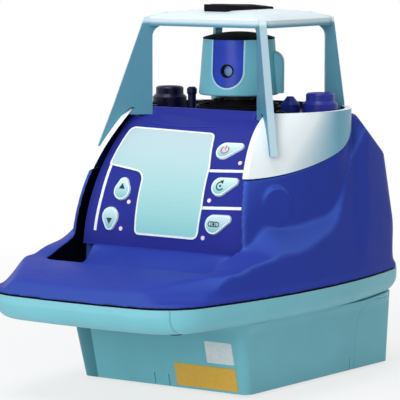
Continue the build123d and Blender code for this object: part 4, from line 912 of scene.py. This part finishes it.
# Body of each key, X and arc of its middle, outline of its film, its sign and the sign's ink
KEYS = {
    "key_power": ("power_key", 34.5, 62.0, right_key_outline(), power_sign, red_ink),
    "key_speed": ("speed_key", 40.0, 38.0, right_key_outline(), turn_sign, dark_ink),
    "key_manual": ("manual_key", 40.0, 15.0, right_key_outline(), cell_sign, dark_ink),
    "key_up": ("up_key", -34.0, 32.0, left_key_outline(1), up_sign, dark_ink),
    "key_down": ("down_key", -40.0, 13.0, left_key_outline(-1), down_sign, dark_ink),
}
for key, (body, x, arc, outline, sign, colour) in KEYS.items():
    face = on_key(x, arc)
    pad = Marks(face, 0.0, PAD_THICK)
    pad.fill(outline)
    pad.make(key + "_film", body, key_film)
    mark = Marks(face, PAD_THICK, PAD_THICK + SIGN_THICK)
    sign(mark)
    mark.make(key + "_mark", body, colour)


# Bare plates on the front of the base

FRONT_Y, FRONT_LOW_Z, FRONT_LEAN = -79.5, 1.5, 11.5 / 45.5
PLATE_CORNER = 0.8
PLATE_FOOT, PLATE_TOP = 0.02, 0.3
# Lowest and highest X, lowest and highest Z, and material
PLATES = {
    "plain_plate_upper": (36.0, 55.5, 19.5, 33.0, plate_white),
    "plain_plate_lower": (11.0, 55.5, 3.0, 17.2, plate_yellow),
}


def on_front(x, z, out):
    return Vector((x, FRONT_Y - FRONT_LEAN * (z - FRONT_LOW_Z) - out, z))


for name, (x_low, x_high, z_low, z_high, colour) in PLATES.items():
    corners = [(x_low, z_low), (x_high, z_low), (x_high, z_high), (x_low, z_high)]
    plate = Marks(on_front, PLATE_FOOT, PLATE_TOP)
    plate.fill(rounded(corners, PLATE_CORNER, 4))
    plate.make(name, "housing", colour)


# Folded rubber boot round the neck of the head

BOOT_FOLDS, BOOT_STEPS, BOOT_COUNT = 3, 54, 96
BOOT_R, BOOT_REACH, BOOT_WAVE_R, BOOT_SKIN_R = 28.2, 4.6, 0.5, 0.75
BOOT_Z, BOOT_RISE, BOOT_WAVE_Z, BOOT_SKIN_Z = 163.2, 5.2, 0.55, 0.85
# Radius and height of the points of the foot, outside and inside
BOOT_FOOT_OUT = [(28.3, 161.6), (28.3, 163.0)]
BOOT_FOOT_IN = [(27.2, 161.6)]


def boot_profile():
    outer, inner = [], []
    for i in range(BOOT_STEPS + 1):
        t = i / BOOT_STEPS
        wave = math.sin(2 * math.pi * BOOT_FOLDS * t - math.pi / 2)
        r = BOOT_R - BOOT_REACH * t + BOOT_WAVE_R * wave
        z = BOOT_Z + BOOT_RISE * t + BOOT_WAVE_Z * wave
        outer.append((r, z))
        inner.append((r - BOOT_SKIN_R, z - BOOT_SKIN_Z))
    return BOOT_FOOT_OUT + outer + inner[::-1] + BOOT_FOOT_IN


def bellows_boot():
    """The profile turned once round the head's axis."""
    profile = boot_profile()
    rows = len(profile)
    verts, faces = [], []
    for i in range(BOOT_COUNT):
        angle = 2 * math.pi * i / BOOT_COUNT
        verts += [Vector((r * math.cos(angle), r * math.sin(angle), z)) for r, z in profile]
        j = (i + 1) % BOOT_COUNT
        for k in range(rows):
            m = (k + 1) % rows
            faces.append((i * rows + k, j * rows + k, j * rows + m, i * rows + m))
    boot = piece("bellows_boot", verts, faces, "housing", black_rubber, smooth=True)
    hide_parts("bellows")


bellows_boot()


# Bead round the window in the turning head

HEAD_LOW_Z, HEAD_TOP_Z, HEAD_LOW_R, HEAD_TOP_R = 173.5, 208.0, 25.0, 22.3
WINDOW_TURN, WINDOW_HALF, WINDOW_LOW_Z = math.radians(16.5), 10.0, 178.5
BEAD_WIDE, BEAD_FOOT, BEAD_TOP = 0.9, -0.25, 0.22
BEAD_GAP, BEAD_END, BEAD_STEP = 0.35, 0.4, 2.0


def on_head(s, z, out):
    """Place on the shell of the head, s to the right of the middle of the window."""
    rise = (z - HEAD_LOW_Z) / (HEAD_TOP_Z - HEAD_LOW_Z)
    radius = HEAD_LOW_R + (HEAD_TOP_R - HEAD_LOW_R) * rise + out
    reach = math.sqrt(radius * radius - s * s)
    away = Vector((math.sin(WINDOW_TURN), -math.cos(WINDOW_TURN), 0))
    right = Vector((math.cos(WINDOW_TURN), math.sin(WINDOW_TURN), 0))
    return away * reach + right * s + Vector((0, 0, z))


def window_bead():
    half = WINDOW_HALF + BEAD_GAP
    bend_z = WINDOW_LOW_Z + WINDOW_HALF
    top_z = HEAD_TOP_Z - BEAD_END
    path = along([(-half, top_z), (-half, bend_z)], BEAD_STEP)[:-1]
    path += circle(0, bend_z, half, 25, 180, 180)
    path += along([(half, bend_z), (half, top_z)], BEAD_STEP)[1:]
    bead = Marks(on_head, BEAD_FOOT, BEAD_TOP)
    bead.line(path, BEAD_WIDE)
    bead.make("window_bead", "rotor", bead_pale)


window_bead()


# Ribbed rubber bar on the roof

BAR_HALF_X, BAR_HALF_Y, BAR_TOP_Z = 9.0, 26.0, 230.0
BAR_CORNER, BAR_LEAST_CORNER, BAR_CORNER_STEPS = 1.8, 0.8, 9
BAR_FALL, BAR_FALL_WAY, BAR_LEVEL = 0.085, (0.81, 0.58), 8.0
ROOF_TOP_Z, ROOF_BOW_X, ROOF_BOW_Y = 225.6, 0.0012, 0.0011
BAR_FOOT_INSET, BAR_FOOT_HIGH = 1.2, 1.0
# Levels of the shoulder and of one rib: how far in, and how far under the top
BAR_SHOULDER = ((0.0, 0.5), (0.4, 0.2), (1.0, 0.2), (2.8, 0.4))
BAR_RIB = ((0.0, 0.0), (0.8, 0.0), (1.1, 0.5))
RIB_INSETS = (3.2, 5.1, 7.0)


def bar_row(inset, height):
    """One level of the bar: a rounded rectangle, with the same number of points at every level."""
    row = []
    corner = max(BAR_CORNER - inset, BAR_LEAST_CORNER)
    for index, (sx, sy) in enumerate(((1, 1), (-1, 1), (-1, -1), (1, -1))):
        for k in range(BAR_CORNER_STEPS):
            angle = math.radians(90 * index + 90 * k / (BAR_CORNER_STEPS - 1))
            x = sx * (BAR_HALF_X - inset - corner) + corner * math.cos(angle)
            y = sy * (BAR_HALF_Y - inset - corner) + corner * math.sin(angle)
            row.append(Vector((x, y, height(x, y))))
    return row


def roof_height(x, y):
    """Top of the roof under the bar."""
    return ROOF_TOP_Z - ROOF_BOW_Y * y * y - ROOF_BOW_X * x * x


def foot_height(x, y):
    """Where the wall of the bar starts."""
    return roof_height(x, y) + BAR_FOOT_HIGH


def bar_top(down):
    """Height of the top of the bar, less down: level at the left front, falling to the right rear."""
    def height(x, y):
        past = max(0.0, BAR_FALL_WAY[0] * x + BAR_FALL_WAY[1] * y + BAR_LEVEL)
        return BAR_TOP_Z - down - BAR_FALL * past
    return height


def roof_bar():
    rows = [bar_row(BAR_FOOT_INSET, roof_height), bar_row(0.0, foot_height)]
    rows += [bar_row(inset, bar_top(down)) for inset, down in BAR_SHOULDER]
    for start in RIB_INSETS:
        rows += [bar_row(start + inset, bar_top(down)) for inset, down in BAR_RIB]
    wide = len(rows[0])
    last = (len(rows) - 1) * wide
    faces = [tuple(reversed(range(wide))), tuple(range(last, last + wide))]
    for base in range(0, last, wide):
        for i in range(wide):
            j = (i + 1) % wide
            faces.append((base + i, base + j, base + wide + j, base + wide + i))
    verts = [v for row in rows for v in row]
    bar = piece("roof_bar", verts, faces, "housing", bar_rubber)
    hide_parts("roof_grip_pad")


roof_bar()


# Rolled edge near the top of the panel

ROLL_PATH = [
    (-46.5, 85.6), (-39.6, 83.0), (-29.4, 80.2), (-20.0, 79.0), (-10.0, 78.8), (2.0, 79.3), (14.0, 80.2),
]
ROLL_WIDE, ROLL_FOOT, ROLL_TOP, ROLL_STEP = 0.7, -0.1, 0.28, 1.2

roll = Marks(on_panel, ROLL_FOOT, ROLL_TOP)
roll.line(along(ROLL_PATH, ROLL_STEP), ROLL_WIDE)
roll.make("panel_roll", "housing", panel_blue)


# Ends of the rim along the top of the panel, up to the front posts of the cage

LIP_HALF, LIP_LEAN, LIP_THICK = 37.0, 1.6, 2.5
LIP_FOOT_Y, LIP_FOOT_Z, LIP_TOP_Z = -38.6, 161.5, 166.4
LIP_STEPS = 8
# X and Y of a point on the inner face of the post, and how X changes with Y along that face
POST_X, POST_Y, POST_SLANT = 39.0, -37.4, 0.88
POST_GAP = 0.3


def lip_profile():
    """Section of the rim, as Y and Z, with its round top."""
    half = LIP_THICK / 2
    middle = LIP_FOOT_Y + LIP_LEAN + half
    arc = circle(middle, LIP_TOP_Z - half, half, LIP_STEPS + 1, 180, -180)
    return [(LIP_FOOT_Y, LIP_FOOT_Z)] + arc + [(middle + half, LIP_FOOT_Z)]


def lip_end(name, side):
    section = lip_profile()
    count = len(section)
    verts = [Vector((side * LIP_HALF, y, z)) for y, z in section]
    for y, z in section:
        reach = POST_X + POST_SLANT * (y - POST_Y) - POST_GAP
        verts.append(Vector((side * reach, y, z)))
    faces = [(i, (i + 1) % count, count + (i + 1) % count, count + i) for i in range(count)]
    faces += [tuple(range(count)), tuple(range(2 * count - 1, count - 1, -1))]
    piece(name, verts, faces, "housing", panel_blue)


lip_end("lip_end_left", -1)
lip_end("lip_end_right", 1)


# Upper housing with eased edges, soft ledges along its sides, a wider rear and sloping rear shoulders.
# Lengths are in metres here. Pairs are where a change starts and ends, along -Y for FLANK_REAR and
# NOSE_Y and along -Z for FLANK_TOP. SIDE_PAD is a place (Y, Z) and HUMP_OUT a direction (X, Y).

SHELL_VOXEL = 0.001
SHELL_KEPT = 0.2
SHELL_WALL = 0.003
HUMP_OUT = (0.813, 0.583)
HUMP_SWELL = 0.0032
HUMP_FROM = (0.070, 0.078)
HUMP_Z = (0.066, 0.095)
SHOULDER_AT = Vector((0.0561, 0.0402, 0.166))
SHOULDER_WAY = Vector((0.656, 0.470, 0.591)).normalized()
SIDE_PAD = (-0.057, 0.112)
PAD_CLEAR = (0.013, 0.016)
WING_R = (0.082, 0.087)
WING_Z = (0.079, 0.084)
FLANK_X = (0.058, 0.064)
FLANK_FRONT = (-0.130, -0.112)
FLANK_REAR = (-0.075, -0.050)
FLANK_LOW = (0.0665, 0.072)
FLANK_TOP = (-0.128, -0.118)
NOSE_Y = (0.126, 0.133)
NOSE_Z = (0.0662, 0.0685)
EASE = 0.5
EASE_ON_PAD = 0.15
EDGE_TIMES, WING_TIMES, FLANK_TIMES, NOSE_TIMES = 5, 5, 14, 28


def changed(mesh, kind, **settings):
    """The mesh that one modifier makes of a mesh, which is used up."""
    rough = bpy.data.objects.new("rough", mesh)
    scene.collection.objects.link(rough)
    change = rough.modifiers.new("change", kind)
    for name, value in settings.items():
        setattr(change, name, value)
    ready = rough.evaluated_get(bpy.context.evaluated_depsgraph_get())
    result = bpy.data.meshes.new_from_object(ready)
    bpy.data.meshes.remove(mesh)
    return result


def ramp(values, low, high):
    """0 up to low and 1 from high on, with a smooth climb between."""
    share = np.clip((values - low) / (high - low), 0.0, 1.0)
    return share * share * (3 - 2 * share)


def ease(places, edges, weights, count):
    """Moves each point towards the middle of its neighbours, count times."""
    ends = np.concatenate((edges, edges[:, ::-1]))
    near = np.bincount(ends[:, 0], minlength=len(places))
    for _ in range(count):
        for k in range(3):
            total = np.bincount(ends[:, 0], weights=places[ends[:, 1], k], minlength=len(places))
            places[:, k] += weights * (total / near - places[:, k])


def read(rows, key, kind, wide):
    out = np.empty(len(rows) * wide, dtype=kind)
    rows.foreach_get(key, out)
    return out.reshape(-1, wide)


def shape_rear(places, facing):
    """Widens the rear above the rim and cuts both rear shoulders to a slope, the inner skin deeper."""
    for side in (-1, 1):
        mirror = np.array((side, 1.0, 1.0))
        out = np.array((*HUMP_OUT, 0.0)) * mirror
        swell = HUMP_SWELL * ramp(places @ out, *HUMP_FROM) * ramp(places[:, 2], *HUMP_Z)
        places += swell[:, None] * out
        way = np.array(SHOULDER_WAY) * mirror
        inner = np.where(facing @ way < 0, SHELL_WALL, 0.0)
        past = np.maximum((places - np.array(SHOULDER_AT) * mirror) @ way + inner, 0.0)
        places -= past[:, None] * way


def soften(places, edges):
    """Eases all edges a little, and the front edges of the wings, the side ledges and the nose more. The
    round pad on each side stays crisper."""
    x, y, z = np.abs(places[:, 0]), places[:, 1], places[:, 2]
    off_pad = ramp(np.hypot(y - SIDE_PAD[0], z - SIDE_PAD[1]), *PAD_CLEAR)
    wing = ramp(np.hypot(y - PANEL_Y * MM, z - PANEL_Z * MM), *WING_R) * ramp(z, *WING_Z)
    ease(places, edges, EASE_ON_PAD + (EASE - EASE_ON_PAD) * off_pad, EDGE_TIMES)
    ease(places, edges, EASE * wing * off_pad, WING_TIMES)
    flank = ramp(x, *FLANK_X) * ramp(y, *FLANK_FRONT) * ramp(-y, *FLANK_REAR)
    flank *= ramp(z, *FLANK_LOW) * ramp(-z, *FLANK_TOP) * (1 - wing) * off_pad
    nose = ramp(-y, *NOSE_Y) * ramp(z, *NOSE_Z)
    ease(places, edges, EASE * flank, FLANK_TIMES)
    ease(places, edges, EASE * nose, NOSE_TIMES)


def upper_shell():
    mesh = nodes["upper_housing"].data.copy()
    mesh = changed(mesh, "REMESH", mode="VOXEL", voxel_size=SHELL_VOXEL)
    places = read(mesh.vertices, "co", np.float32, 3).astype(np.float64)
    shape_rear(places, read(mesh.vertices, "normal", np.float32, 3))
    soften(places, read(mesh.edges, "vertices", np.int32, 2))
    mesh.vertices.foreach_set("co", places.astype(np.float32).ravel())
    mesh = changed(mesh, "DECIMATE", ratio=SHELL_KEPT)
    mesh.shade_smooth()
    dress(mesh, blue)
    shell = bpy.data.objects.new("upper_shell", mesh)
    scene.collection.objects.link(shell)
    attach(shell, "housing")
    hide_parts("upper_housing")


upper_shell()
